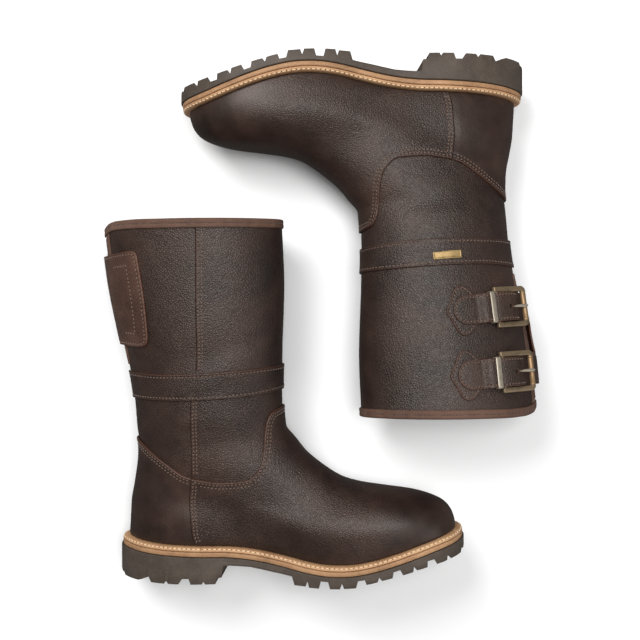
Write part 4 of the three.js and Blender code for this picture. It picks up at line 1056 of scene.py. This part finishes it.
def buckle_parts(f):
    n = f.b["name"]
    out = {}
    # patch with its spade outline, sewn round the edge
    sp = f.b["spade"]
    spade = A([[-5, -12], [sp - 12.5, -12], [sp - 9.5, -13.6], [sp - 6.5, -17], [sp - 2.5, -20], [sp + 2, -20.2], [sp + 5.5, -17], [sp + 8.5, -9.5], [sp + 12.6, 0], [sp + 8.5, 9.5], [sp + 5.5, 17], [sp + 2, 20.2], [sp - 2.5, 20], [sp - 6.5, 17], [sp - 9.5, 13.6], [sp - 12.5, 12], [-5, 12]])
    dense = np.vstack([spade[:1], smooth_line(spade[1:-1], step=1.0), spade[-1:]])

    def ut(P):
        q = skin(P[:, 0], P[:, 1]) - f.o
        return np.stack([q @ f.u, q @ f.t], 1)
    spade_t = Table(dense, True, (-25, -32), (62, 32), .6)
    fld = true_dist(lambda P: spade_t(ut(P)))
    pc = Piece()
    P, T = grid(np.linspace(f.phi - .95, f.phi + .25, 66), np.linspace(f.k - 1.6, f.k + 1.9, 60))
    P, T = cuts(P, T, [fld], [(fld, (.25, .7, 1.5, 2.1, 2.7))])
    base = LEATHER_T + GAP
    eo = lambda Q: base + 1.5 - rounded(fld(Q), .7, .8) + groove(fld(Q), 2.1, .6, .25) + .25 * np.clip(1 - fld(Q) / 8, 0, 1)
    sheet(pc, P, T, skin_pos, eo(P), np.full(len(P), base), 1 - np.clip(fld(P) / 1.0, 0, 1))
    sew_rows(pc, P, T, skin_pos, eo, None, [(fld, 2.1, [(lambda Q: ut(Q)[:, 0] - 12, 0)])], pitch=2.9, L=2.0, r=.4)
    ring = []
    for i in range(15):
        a = math.pi * (1.5 - i / 14 * 1.7)
        ring.append((2.45 * math.cos(a), BAR_LIFT + 2.45 * math.sin(a)))
    fold = [(9, f.leather(9) + .95), (4, f.leather(4) + 1.05)] + ring + [(5.5, f.leather(5.5) + 2.5), (9, f.leather(9) + 2.35), (13.5, f.leather(13.5) + 2.2), (17, f.leather(17) + 1.9)]
    w_of = smooth_line(A(fold), step=.45)
    sw = np.concatenate([[0], np.cumsum(np.linalg.norm(np.diff(w_of, axis=0), axis=1))])

    def slot(P, U):
        w = np.interp(P[:, 0], sw, w_of[:, 1])
        u = U(P[:, 0])
        return np.where((w > 1.75) & (u < 3.6), np.abs(P[:, 1]) - 2.6, 30.0)
    strip(pc, f, fold, 12, 1.3, holes=[slot], sample=.45, nt=33, edge_r=.4, gr=False)
    out[n + "_chape"] = pc
    # frame: a rounded open loop of cast bar, with thin pins across
    pc = Piece()
    R = 2.6
    path = [(1.9, ARM_T), (.8, ARM_T), (-6, ARM_T), (-14, ARM_T), (-BUCKLE_L + R, ARM_T)]
    for i in range(1, 7):
        a = math.pi / 2 * i / 6
        path.append((-BUCKLE_L + R - R * math.sin(a), ARM_T - R + R * math.cos(a)))
    half_ = A(path)
    for sgn in (1, -1):
        tube(pc, f, half_ * A([1, sgn]), 2.25, 1.85, BAR_LIFT, tip=True)
    rod(pc, f, 0, BAR_LIFT, HEEL_BAR_R, -ARM_T, ARM_T)
    rod(pc, f, -BUCKLE_L, BAR_LIFT, FRONT_BAR_R, -ARM_T + 2.6, ARM_T - 2.6)
    out[n + "_buckle_frame"] = pc
    # roller
    pc = Piece()
    h = ROLLER_L / 2
    lathe(pc, f, -BUCKLE_L, BAR_LIFT, [(-h, ROLLER_BORE + .02), (-h, 2.0), (-h + .3, ROLLER_R), (-h + 1.4, ROLLER_R), (-h + 1.6, ROLLER_R - .12), (-h + 1.8, ROLLER_R), (h - 1.8, ROLLER_R), (h - 1.6, ROLLER_R - .12), (h - 1.4, ROLLER_R), (h - .3, ROLLER_R), (h, 2.0), (h, ROLLER_BORE + .02)])
    out[n + "_buckle_roller"] = pc
    # prong
    pc = Piece()
    lathe(pc, f, 0, BAR_LIFT, [(-1.7, HEEL_BAR_R + .08), (-1.7, 2.5), (-1.4, 2.85), (1.4, 2.85), (1.7, 2.5), (1.7, HEEL_BAR_R + .08)])
    top = BAR_LIFT + ROLLER_R + .1
    pts = smooth_line(A([(-1.9, BAR_LIFT + 1.9), (-6, BAR_LIFT + 1.6), (-11.5, BAR_LIFT + 1.35), (-16, BAR_LIFT + 1.9), (-20.5, top + .5), (-26, top + 1.0), (-28, top + .95), (-29.2, top + .75)]), step=1.0)
    prong(pc, f, pts)
    out[n + "_buckle_prong"] = pc
    # keeper
    pc = Piece()
    keeper(pc, f)
    out[n + "_strap_keeper"] = pc
    return out


def rod(pc, f, U, W, r, t0, t1, n=20):
    ang = np.linspace(0, PI2, n + 1)[:-1]
    V = []
    for t in np.linspace(t0, t1, 8):
        V.append(f.at(U + r * np.cos(ang), t, W + r * np.sin(ang)))
    V = np.stack(V)
    F = [(j * n + i, j * n + (i + 1) % n, (j + 1) * n + (i + 1) % n, (j + 1) * n + i) for j in range(len(V) - 1) for i in range(n)]
    F += [tuple(range(n))[::-1], tuple((len(V) - 1) * n + i for i in range(n))]
    pc.add(V.reshape(-1, 3), F, 0)


def lathe(pc, f, U, W, prof, n=36):
    ang = np.linspace(0, PI2, n + 1)[:-1]
    V = np.stack([f.at(U + r * np.cos(ang), t, W + r * np.sin(ang)) for t, r in prof])
    m = len(prof)
    F = [(j * n + i, j * n + (i + 1) % n, ((j + 1) % m) * n + (i + 1) % n, ((j + 1) % m) * n + i) for j in range(m) for i in range(n)]
    pc.add(V.reshape(-1, 3), F, 0)


def tube(pc, f, path, hx, hz, W, tip=False):
    """rounded bar swept along a path in the (u, t) plane"""
    p = smooth_line(path, step=.8)
    tan = unit(np.gradient(p, axis=0))
    nrm = np.stack([-tan[:, 1], tan[:, 0]], 1)
    n = 20
    ang = np.linspace(0, PI2, n + 1)[:-1]
    c, s_ = np.cos(ang), np.sin(ang)
    cx = np.sign(c) * np.abs(c) ** .45
    cz = np.sign(s_) * np.abs(s_) ** .45
    V = []
    L = len(p)
    for i in range(L):
        q = 1.0
        off = 0.0
        sc = [1.0]
        V.append(f.at(p[i, 0] + nrm[i, 0] * hx * cx, p[i, 1] + nrm[i, 1] * hx * cx, W + hz * cz))
    for k_, (q, back) in enumerate(((.9, .35), (.62, .75))):
        e = p[0] - tan[0] * back
        V.insert(0, f.at(e[0] + nrm[0, 0] * hx * q * cx, e[1] + nrm[0, 1] * hx * q * cx, W + hz * q * cz))
    V = np.stack(V)
    L = len(V)
    F = [(j * n + i, j * n + (i + 1) % n, (j + 1) * n + (i + 1) % n, (j + 1) * n + i) for j in range(L - 1) for i in range(n)]
    F += [tuple(range(n))[::-1], tuple((L - 1) * n + i for i in range(n))]
    pc.add(V.reshape(-1, 3), F, 0)


def prong(pc, f, p):
    tan = unit(np.gradient(p, axis=0))
    nrm = np.stack([-tan[:, 1], tan[:, 0]], 1)
    n = 14
    ang = np.linspace(0, PI2, n + 1)[:-1]
    V = []
    L = len(p)
    for i in range(L):
        s = i / (L - 1)
        wd = float(np.interp(-p[i, 0], [0, 6, 12, 17, 24, 29], [1.35, 1.15, .95, .95, 1.45, 1.35]))
        if i >= L - 3:
            wd *= (.9, .7, .35)[i - (L - 3)]
        ht = .82 if i < L - 2 else (.7, .35)[i - (L - 2)]
        V.append(f.at(p[i, 0] + nrm[i, 0] * ht * np.sin(ang), wd * np.cos(ang), p[i, 1] + nrm[i, 1] * ht * np.sin(ang)))
    V = np.stack(V)
    F = [(j * n + i, j * n + (i + 1) % n, (j + 1) * n + (i + 1) % n, (j + 1) * n + i) for j in range(L - 1) for i in range(n)]
    F += [tuple(range(n))[::-1], tuple((L - 1) * n + i for i in range(n))]
    pc.add(V.reshape(-1, 3), F, 0)


def keeper(pc, f):
    a, b, r = 12.42, 1.98, .9
    path = []
    for cx, cz, a0 in ((a - r, b - r, 0), (-a + r, b - r, 90), (-a + r, -b + r, 180), (a - r, -b + r, 270)):
        for i in range(6):
            q = math.radians(a0 + 90 * i / 5)
            path.append((cx + r * math.cos(q), cz + r * math.sin(q), math.cos(q), math.sin(q)))
    full = []
    for i in range(len(path)):
        full.append(path[i])
        j = path[(i + 1) % len(path)]
        if math.dist(path[i][:2], j[:2]) > 3:
            for q in (.25, .5, .75):
                full.append(tuple(path[i][k_] * (1 - q) + j[k_] * q for k_ in range(4)))
    hw = KEEPER_W / 2
    prof = [(-.5, -hw + .2), (-.3, -hw), (.2, -hw), (.48, -hw + .4), (.6, -.9), (.63, 0), (.6, .9), (.48, hw - .4), (.2, hw), (-.3, hw), (-.5, hw - .2)]
    V = []
    for t, z, nt, nz in full:
        ln = math.hypot(nt, nz)
        nt, nz = nt / ln, nz / ln
        V.append(np.stack([f.at(KEEPER_U + u, t + nt * h, KEEPER_Z + z + nz * h) for h, u in prof]))
    V = np.stack(V)
    n, m = V.shape[:2]
    F = [(i * m + j, i * m + (j + 1) % m, ((i + 1) % n) * m + (j + 1) % m, ((i + 1) % n) * m + j) for i in range(n) for j in range(m)]
    pc.add(V.reshape(-1, 3), F, 0)


def strap_panel(frames_):
    pc = Piece()

    def pos(P, e):
        return layer(P[:, 0], P[:, 1], LEATHER_T + GAP + stand(P[:, 0]) + np.broadcast_to(np.asarray(e, float), (len(P),)))
    back_poly = smooth_line(A([[-40, 280.6], [-11, 280.8], [7, 283.7]]))
    low_poly = smooth_line(A([[-40, 207.8], [-8, 207.6], [7, 206.2]]))
    c_cut = smooth_line(A([[-5.4, 238], [-4.6, 245], [-5.4, 252], [-8, 256.4], [-14, 257.2], [-30, 257.4], [-30, 232.6], [-14, 232.8], [-8, 233.8]]), True)
    c_cut = Table(c_cut, True, (-60, 190), (20, 300), .7)
    back_poly = Table(back_poly, False, (-45, 185), (60, 305), 1.0)
    low_poly = Table(low_poly, False, (-45, 185), (60, 305), 1.0)

    def fld(P):
        q = skin(P[:, 0], P[:, 1])
        p = np.mod(P[:, 0] + math.pi, 2 * math.pi) - math.pi
        inner = TAB_L(q[:, [0, 2]])
        d = np.minimum(-back_poly(q[:, [0, 2]]), low_poly(q[:, [0, 2]]))
        outer = np.minimum(np.minimum(d, 7 - q[:, 0]), -c_cut(q[:, [1, 2]]))
        far_y = -c_cut(q[:, [1, 2]])
        return np.where(p >= 0, np.minimum(inner, np.where(p < .5, far_y, 99)), outer)
    P, T = grid(np.linspace(-.5, 1.15, 92), np.linspace(13.9, 17.6, 84))
    P, T = cuts(P, T, [fld], [(fld, (.25, .8, 1.7, 2.4, 3.1))])
    eo = lambda Q: STRAP_T - rounded(fld(Q), .8, .8) + groove(fld(Q), 2.4, .7, .25)
    sheet(pc, P, T, pos, eo(P), rounded(fld(P), .6, .3), 1 - np.clip(fld(P) / 1.0, 0, 1))
    front = lambda Q: np.where(Q[:, 0] > .15, 1.0, -1.0)
    sew_rows(pc, P, T, pos, eo, None, [(fld, 2.4, [(front, 0)]), (lambda Q: fld(Q), 11.2, [(lambda Q: Q[:, 0] - .55, 0), (lambda Q: TAB_L(xz(Q)) - 2, 0)])], pitch=3.3, L=2.3, r=.46)
    for f in frames_:
        tip_r = 10.9

        def shape(P, L):
            a = P[:, 0]
            return np.where(a < 11.8, 11.8 - np.hypot(11.8 - a, P[:, 1]), 50.0)
        holes = [lambda P, U: np.hypot(U(P[:, 0]) - 20, P[:, 1]) - 1.3 if False else np.full(len(P), 40.0),
                 lambda P, U: np.hypot(U(P[:, 0]) + 15.5, P[:, 1]) - 1.35 if False else np.full(len(P), 40.0),
                 lambda P, U: np.where((U(P[:, 0]) < -5), np.minimum(np.hypot(np.maximum(np.abs(U(P[:, 0]) + 20.0) - 2.2, 0), P[:, 1]) - 1.6, np.hypot(np.maximum(np.abs(U(P[:, 0]) + 15.2) - 2.1, 0), P[:, 1]) - 1.15), 40.0),
                 lambda P, U: np.hypot(U(P[:, 0]) + 9.2, P[:, 1]) - 1.6]
        strip(pc, f, strap_end(f), 11.8, STRAP_T + .1, shape=shape, holes=holes, sample=.75, nt=31, rows=[(0, 64)], mat=3)
        # a near-black ring inside the strap hole (material index 2): painted shade in the hole
        ang = np.linspace(0, PI2, 13)[:-1]
        mid = smooth_line(A(strap_end(f)), step=.75)
        w = float(np.interp(9.2, -mid[:, 0], mid[:, 1]))
        ringv = [f.at(-9.2 + r * np.cos(ang), r * np.sin(ang), w + h) for r, h in ((1.75, -.1), (1.75, -.8))]
        pc.add(np.vstack(ringv), [tuple(range(12)), tuple(range(23, 11, -1))] + [(j, j + 12, (j + 1) % 12 + 12, (j + 1) % 12) for j in range(12)], 2)
    return pc


def build_boot():
    parts = {}
    parts.update(shaft_parts())
    parts.update(foot_parts())
    parts.update(band_parts())
    parts["collar_binding"] = binding()
    parts["lining"] = lining()
    parts["footbed"] = footbed()
    parts.update(sole_parts())
    fr = [BuckleFrame(b) for b in BUCKLES]
    for f in fr:
        parts.update(buckle_parts(f))
    parts["strap_panel"] = strap_panel(fr)
    return parts


# ------------------------------------------------------------------ materials
def srgb(r, g, b):
    c = [v / 255 for v in (r, g, b)]
    return tuple(v / 12.92 if v <= .04045 else ((v + .055) / 1.055) ** 2.4 for v in c) + (1.0,)


class Mat:
    def __init__(self, name):
        self.m = bpy.data.materials.new(name)
        self.m.use_nodes = True
        self.t = self.m.node_tree
        self.t.nodes.clear()
        self.out = self.t.nodes.new("ShaderNodeOutputMaterial")
        self.p = self.t.nodes.new("ShaderNodeBsdfPrincipled")
        self.t.links.new(self.p.outputs[0], self.out.inputs[0])
        self.tc = self.t.nodes.new("ShaderNodeTexCoord").outputs["Object"]

    def n(self, kind, **props):
        q = self.t.nodes.new(kind)
        for k_, v in props.items():
            setattr(q, k_, v)
        return q

    def link(self, a, b):
        self.t.links.new(a, b)

    def noise(self, scale, detail=3, rough=.5, vec=None, dist=0.0):
        q = self.n("ShaderNodeTexNoise")
        q.inputs["Scale"].default_value = scale
        q.inputs["Detail"].default_value = detail
        q.inputs["Roughness"].default_value = rough
        q.inputs["Distortion"].default_value = dist
        self.link(vec or self.tc, q.inputs["Vector"])
        return q.outputs["Fac"]

    def voronoi(self, scale, feature="SMOOTH_F1", vec=None, smooth=.5, rnd=1.0):
        q = self.n("ShaderNodeTexVoronoi", feature=feature)
        q.inputs["Scale"].default_value = scale
        q.inputs["Randomness"].default_value = rnd
        if feature == "SMOOTH_F1":
            q.inputs["Smoothness"].default_value = smooth
        self.link(vec or self.tc, q.inputs["Vector"])
        return q.outputs["Distance"]

    def math(self, op, a, b=None, c=None, clamp=False):
        q = self.n("ShaderNodeMath", operation=op, use_clamp=clamp)
        for i, v in enumerate((a, b, c)):
            if v is None:
                continue
            if isinstance(v, (int, float)):
                q.inputs[i].default_value = v
            else:
                self.link(v, q.inputs[i])
        return q.outputs[0]

    def ramp(self, fac, stops):
        q = self.n("ShaderNodeValToRGB")
        el = q.color_ramp.elements
        el[0].position, el[0].color = stops[0]
        el[1].position, el[1].color = stops[-1]
        for p, c in stops[1:-1]:
            e = el.new(p)
            e.color = c
        self.link(fac, q.inputs[0])
        return q.outputs[0]

    def mix(self, fac, a, b):
        q = self.n("ShaderNodeMix", data_type="RGBA")
        for sock, v in ((q.inputs[0], fac), (q.inputs[6], a), (q.inputs[7], b)):
            if isinstance(v, (int, float)):
                sock.default_value = v
            elif isinstance(v, tuple):
                sock.default_value = v
            else:
                self.link(v, sock)
        return q.outputs[2]

    def attr(self, name):
        return self.n("ShaderNodeAttribute", attribute_name=name).outputs["Fac"]

    def bump(self, height, strength, dist, prev=None):
        q = self.n("ShaderNodeBump")
        if isinstance(strength, (int, float)):
            q.inputs["Strength"].default_value = strength
        else:
            self.link(strength, q.inputs["Strength"])
        q.inputs["Distance"].default_value = dist
        self.link(height, q.inputs["Height"])
        if prev:
            self.link(prev, q.inputs["Normal"])
        return q.outputs[0]

    def set(self, **kw):
        for k_, v in kw.items():
            s = self.p.inputs[k_.replace("_", " ")]
            if isinstance(v, (int, float, tuple)):
                s.default_value = v
            else:
                self.link(v, s)


def leather(name, base, dark, light, edge, grain=600, depth=.000165, rough=.46, smooth_attr=True, coat=.24):
    m = Mat(name)
    warp = m.noise(260, 2, .5)
    vec = m.n("ShaderNodeVectorMath", operation="ADD")
    m.link(m.tc, vec.inputs[0])
    sc = m.n("ShaderNodeVectorMath", operation="SCALE")
    col = m.n("ShaderNodeTexNoise")
    col.inputs["Scale"].default_value = 300
    m.link(m.tc, col.inputs["Vector"])
    m.link(col.outputs["Color"], sc.inputs[0])
    sc.inputs["Scale"].default_value = .0011
    m.link(sc.outputs[0], vec.inputs[1])
    v = vec.outputs[0]
    pebble = m.voronoi(grain, "SMOOTH_F1", v, .45)
    cracks = m.voronoi(grain, "DISTANCE_TO_EDGE", v)
    fine = m.noise(2600, 4, .6)
    cloud = m.noise(14, 4, .55)
    cloud2 = m.noise(60, 3, .6)
    creases = m.math("SUBTRACT", 1.0, m.math("MULTIPLY", cracks, 9.0, clamp=True))
    tone = m.math("ADD", m.math("MULTIPLY", cloud, .7), m.math("MULTIPLY", cloud2, .3))
    c = m.ramp(tone, [(.34, dark), (.5, base), (.68, light)])
    sm = m.attr("smooth") if smooth_attr else 0.0
    rough_side = m.math("SUBTRACT", 1.0, sm) if smooth_attr else 1.0
    # darkens the grain's crevices toward dark, less on the smooth toe and counter: partly the grain's own darker lines,
    # partly painted shade in the crevices
    c = m.mix(m.math("MULTIPLY", m.math("MULTIPLY", creases, .6), rough_side), c, dark)
    c = m.mix(m.math("MULTIPLY", m.attr("edge"), .8), c, edge)
    h = m.math("SUBTRACT", m.math("POWER", m.math("MULTIPLY", cracks, 2.2, clamp=True), .75), m.math("MULTIPLY", pebble, .5))
    h = m.math("MULTIPLY", h, m.math("ADD", m.math("MULTIPLY", rough_side, .85), .15))
    n1 = m.bump(h, .8, depth * 2)
    n2 = m.bump(fine, .12, .00006, n1)
    n3 = m.bump(m.noise(70, 2, .45), .3, .0007, n2)
    r = m.math("ADD", m.math("MULTIPLY", cloud2, .16), rough - .08)
    r = m.math("ADD", r, m.math("MULTIPLY", creases, .12))
    m.set(Base_Color=c, Roughness=r, Normal=n3, Coat_Weight=coat, Coat_Roughness=.4, Specular_IOR_Level=.44, Specular_Tint=(1, .9, .82, 1))
    soft = m.bump(m.noise(70, 2, .45), .3, .0007, m.bump(h, .45, depth * 1.1))
    m.link(soft, m.p.inputs["Coat Normal"])
    return m.m


def thread(name, a, b):
    m = Mat(name)
    w = m.n("ShaderNodeTexWave")
    w.inputs["Scale"].default_value = 900
    w.inputs["Distortion"].default_value = 3
    m.link(m.tc, w.inputs["Vector"])
    c = m.mix(m.noise(500, 2), a, b)
    m.set(Base_Color=c, Roughness=.75, Normal=m.bump(w.outputs["Fac"], .5, .0002), Sheen_Weight=.3)
    return m.m


def veg_leather(name, base, dark, light, edge_dark=None):
    m = Mat(name)
    mp = m.n("ShaderNodeMapping")
    mp.inputs["Scale"].default_value = (1, 4, 1)
    m.link(m.tc, mp.inputs["Vector"])
    fib = m.noise(420, 4, .65, mp.outputs[0])
    cloud = m.noise(35, 4, .6)
    c = m.ramp(m.math("ADD", m.math("MULTIPLY", fib, .5), m.math("MULTIPLY", cloud, .5)), [(.32, dark), (.5, base), (.68, light)])
    m.set(Base_Color=c, Roughness=m.math("ADD", m.math("MULTIPLY", fib, .25), .5), Normal=m.bump(fib, .4, .0003, m.bump(m.noise(900, 2), .2, .0002)), Specular_IOR_Level=.35)
    return m.m


def rubber(name, a, b):
    m = Mat(name)
    c = m.ramp(m.noise(50, 5, .6), [(.3, a), (.7, b)])
    dust = m.noise(700, 3, .7)
    c = m.mix(m.math("MULTIPLY", m.math("SUBTRACT", dust, .45, clamp=True), .6), c, srgb(120, 110, 98))
    m.set(Base_Color=c, Roughness=m.math("ADD", m.math("MULTIPLY", dust, .2), .5), Normal=m.bump(dust, .3, .00025), Specular_IOR_Level=.35)
    return m.m


def metal(name, hi, lo, rough, wear=.5):
    m = Mat(name)
    blot = m.noise(160, 5, .65)
    scr = m.n("ShaderNodeMapping")
    scr.inputs["Scale"].default_value = (1, 14, 1)
    scr.inputs["Rotation"].default_value = (0, 0, .4)
    m.link(m.tc, scr.inputs["Vector"])
    line = m.noise(500, 3, .7, scr.outputs[0])
    geo = m.n("ShaderNodeNewGeometry")
    worn = m.math("MULTIPLY", m.math("SUBTRACT", geo.outputs["Pointiness"], .5), 7.0)
    f = m.math("ADD", m.math("ADD", m.math("MULTIPLY", blot, 1.1), m.math("MULTIPLY", line, .35)), worn)
    c = m.ramp(m.math("SUBTRACT", f, .2), [(.22, lo), (.62, hi)])
    m.set(Base_Color=c, Metallic=.66, Roughness=m.math("ADD", m.math("MULTIPLY", line, .22), rough - .06), Normal=m.bump(line, .15, .00015, m.bump(blot, .25, .0003)))
    return m.m


def steel_or_board(name, a, b, metallic, rough, scale):
    m = Mat(name)
    f = m.noise(scale, 5, .6)
    c = m.ramp(f, [(.3, a), (.7, b)])
    m.set(Base_Color=c, Metallic=metallic, Roughness=m.math("ADD", m.math("MULTIPLY", f, .2), rough), Normal=m.bump(f, .3, .0003))
    return m.m


MATS = {
    "leather": leather("brown_pebbled_leather", srgb(45, 30, 25), srgb(24, 15, 12), srgb(61, 43, 36), srgb(72, 43, 31)),
    "leather_dk": leather("dark_leather", srgb(47, 31, 25), srgb(26, 16, 12), srgb(63, 44, 35), srgb(80, 47, 33), grain=640),
    "tab": leather("strap_leather", srgb(72, 48, 38), srgb(46, 29, 22), srgb(92, 64, 51), srgb(92, 58, 43), grain=640),
    "strap": leather("strap_end_leather", srgb(50, 33, 26), srgb(28, 17, 13), srgb(68, 47, 37), srgb(82, 48, 34), grain=640),
    "trim": leather("binding_leather", srgb(92, 66, 54), srgb(70, 48, 39), srgb(108, 81, 67), srgb(60, 40, 31), grain=1300, depth=.0001, rough=.6, coat=0.0),
    "gusset": leather("gusset_leather", srgb(40, 28, 24), srgb(26, 18, 15), srgb(54, 40, 34), srgb(60, 40, 32), grain=900, depth=.00015, rough=.6, coat=0.0),
    "lining": leather("lining_leather", srgb(92, 68, 52), srgb(70, 50, 38), srgb(112, 86, 68), srgb(92, 68, 52), grain=1400, depth=.00008, rough=.7, coat=0.0),
    "thread": thread("brown_thread", srgb(108, 80, 62), srgb(82, 58, 44)),
    "thread_dk": thread("dark_thread", srgb(70, 46, 36), srgb(54, 34, 26)),
    # near-black colour for the discs at needle holes and the ring in strap holes: painted shade inside the holes
    "hole": leather("painted_hole_shade", srgb(18, 11, 9), srgb(10, 6, 5), srgb(26, 17, 14), srgb(18, 11, 9), grain=1500, depth=.00005, rough=.8, coat=0.0),
    "welt_thread": thread("cream_thread", srgb(232, 204, 166), srgb(206, 172, 130)),
    "welt": veg_leather("tan_welt", srgb(172, 132, 96), srgb(134, 97, 66), srgb(194, 156, 117)),
    "midsole": veg_leather("tan_midsole", srgb(152, 115, 82), srgb(106, 77, 52), srgb(176, 138, 102)),
    "rubber": rubber("sole_rubber", srgb(58, 49, 42), srgb(77, 67, 59)),
    "brass": metal("antique_brass", srgb(134, 116, 92), srgb(58, 48, 38), .42),
    "roller": metal("roller_brass", srgb(148, 120, 88), srgb(84, 63, 44), .42),
    "pewter": metal("pewter", srgb(168, 158, 142), srgb(84, 76, 66), .4),
    "plate": metal("plate_brass", srgb(164, 138, 92), srgb(104, 84, 52), .42),
    "steel": steel_or_board("shank_steel", srgb(120, 122, 126), srgb(160, 162, 166), 1.0, .25, 300),
    "board": steel_or_board("fibre_board", srgb(150, 126, 92), srgb(182, 156, 118), 0.0, .7, 500),
}
USE = {"outsole": ["rubber"], "midsole": ["midsole"], "welt": ["welt", "welt_thread", "hole"], "lining": ["lining"], "footbed": ["lining"],
       "shaft_main": ["leather", "thread", "hole"], "shaft_rear_inner": ["leather", "thread", "hole"], "vamp": ["leather", "thread", "hole"], "heel_counter": ["leather", "thread", "hole"],
       "rear_gusset": ["gusset"], "collar_binding": ["trim", "thread_dk", "hole"], "ankle_band": ["leather", "thread", "hole"], "name_plate": ["plate"],
       "strap_panel": ["tab", "thread", "hole", "strap"]}
for b in BUCKLES:
    USE[b["name"] + "_chape"] = ["leather_dk", "thread", "hole"]
    USE[b["name"] + "_buckle_frame"] = ["brass"]
    USE[b["name"] + "_buckle_roller"] = ["roller"]
    USE[b["name"] + "_buckle_prong"] = ["pewter"]
    USE[b["name"] + "_strap_keeper"] = ["pewter"]


def smoothness(name, V):
    x, z = V[:, 0], V[:, 2]
    if name == "vamp":
        return np.clip((x - 205) / 45, 0, 1) * .95 + np.clip((62 - z) / 25, 0, 1) * np.clip((x - 120) / 60, 0, 1) * .4
    if name == "heel_counter":
        return np.full(len(V), .75)
    return np.zeros(len(V))


def make(hand, name, pc):
    V = np.vstack(pc.v)
    M = LAY[hand]
    W = (V @ M[:3, :3].T + M[:3, 3]) / 1000
    W[:, 2] = np.maximum(W[:, 2], .0001)          # leather settles flat where it rests
    flip = np.linalg.det(M[:3, :3]) < 0
    me = bpy.data.meshes.new(f"{hand}_{name}_mesh")
    faces = [f[::-1] for f in pc.f] if flip else pc.f
    me.from_pydata(W.tolist(), [], faces)
    me.polygons.foreach_set("material_index", np.array(pc.m, dtype=np.int32))
    ob = bpy.data.objects.new(f"{hand}_{name}_shown", me)
    bpy.context.scene.collection.objects.link(ob)
    bm = bmesh.new()
    bm.from_mesh(me)
    bmesh.ops.recalc_face_normals(bm, faces=bm.faces)
    bm.to_mesh(me)
    bm.free()
    for a, val in (("edge", np.clip(np.concatenate(pc.e), 0, 1)), ("smooth", np.clip(smoothness(name, V), 0, 1))):
        at = me.attributes.new(a, "FLOAT", "POINT")
        at.data.foreach_set("value", val.astype(np.float32))
    me.shade_smooth()
    me.set_sharp_from_angle(angle=math.radians(52 if name != "outsole" else 33))
    for q in USE[name]:
        me.materials.append(MATS[q])
    node = f"{hand}_{name}"
    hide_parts(node)
    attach(ob, frame["nodes"][node]["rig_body"])
    return ob


PARTS = build_boot()
for hand in ("right", "left"):
    for name, pc in PARTS.items():
        make(hand, name, pc)
    for name, mt in (("shank", "steel"), ("insole_board", "board"), ("toe_puff", "board"), ("heel_stiffener", "board")):
        o = frame["nodes"][f"{hand}_{name}"]
        o.data.materials.clear()
        o.data.materials.append(MATS[mt])

# ------------------------------------------------------------------ floor, light, camera
fm = Mat("white_sweep")
ray = fm.n("ShaderNodeLightPath").outputs["Is Glossy Ray"]
# to glossy rays the floor turns dark (.10): painted dark reflections of the floor on the leather and metal; to the
# camera and to diffuse light it stays white
fm.set(Base_Color=fm.mix(ray, fm.ramp(fm.noise(2, 2), [(.3, (.86, .86, .86, 1)), (.7, (.88, .88, .88, 1))]), (.10, .095, .09, 1)), Roughness=.9)
me = bpy.data.meshes.new("floor_mesh")
me.from_pydata([(-3, -3, 0), (3, -3, 0), (3, 3, 0), (-3, 3, 0)], [], [(0, 1, 2, 3)])
me.materials.append(fm.m)
floor = bpy.data.objects.new("floor", me)
bpy.context.scene.collection.objects.link(floor)


def area(name, loc, target, size, power, size_y=None):
    L = bpy.data.lights.new(name, "AREA")
    L.energy = power
    L.size = size
    if size_y:
        L.shape = "RECTANGLE"
        L.size_y = size_y
    o = bpy.data.objects.new(name, L)
    o.location = loc
    d = Vector(target) - Vector(loc)
    o.rotation_euler = d.to_track_quat("-Z", "Y").to_euler()
    bpy.context.scene.collection.objects.link(o)
    return o


area("key_softbox", (-.5, .7, 1.25), (0, 0, .04), .6, 16)
area("top_softbox", (.2, .1, 1.5), (0, 0, 0), .6, 14)
area("fill_right", (1.2, -.5, .8), (0, 0, .04), .6, 3)
world = bpy.data.worlds.new("studio")
bpy.context.scene.world = world
world.use_nodes = True
wn = world.node_tree.nodes["Background"]
wt = world.node_tree
lp = wt.nodes.new("ShaderNodeLightPath")
wm = wt.nodes.new("ShaderNodeMix")
wm.data_type = "RGBA"
wt.links.new(lp.outputs["Is Glossy Ray"], wm.inputs[0])
wm.inputs[6].default_value = (1, 1, 1, 1)
wm.inputs[7].default_value = (.25, .25, .25, 1)
wt.links.new(wm.outputs[2], wn.inputs[0])
wn.inputs[1].default_value = .30
bpy.context.scene.view_settings.view_transform = "Standard"

cam = bpy.data.cameras.new("camera")
cam.lens, cam.sensor_width = 50, 36
co = bpy.data.objects.new("camera", cam)
co.location = (-.001784, -.000993, .815)
bpy.context.scene.collection.objects.link(co)
bpy.context.scene.camera = co
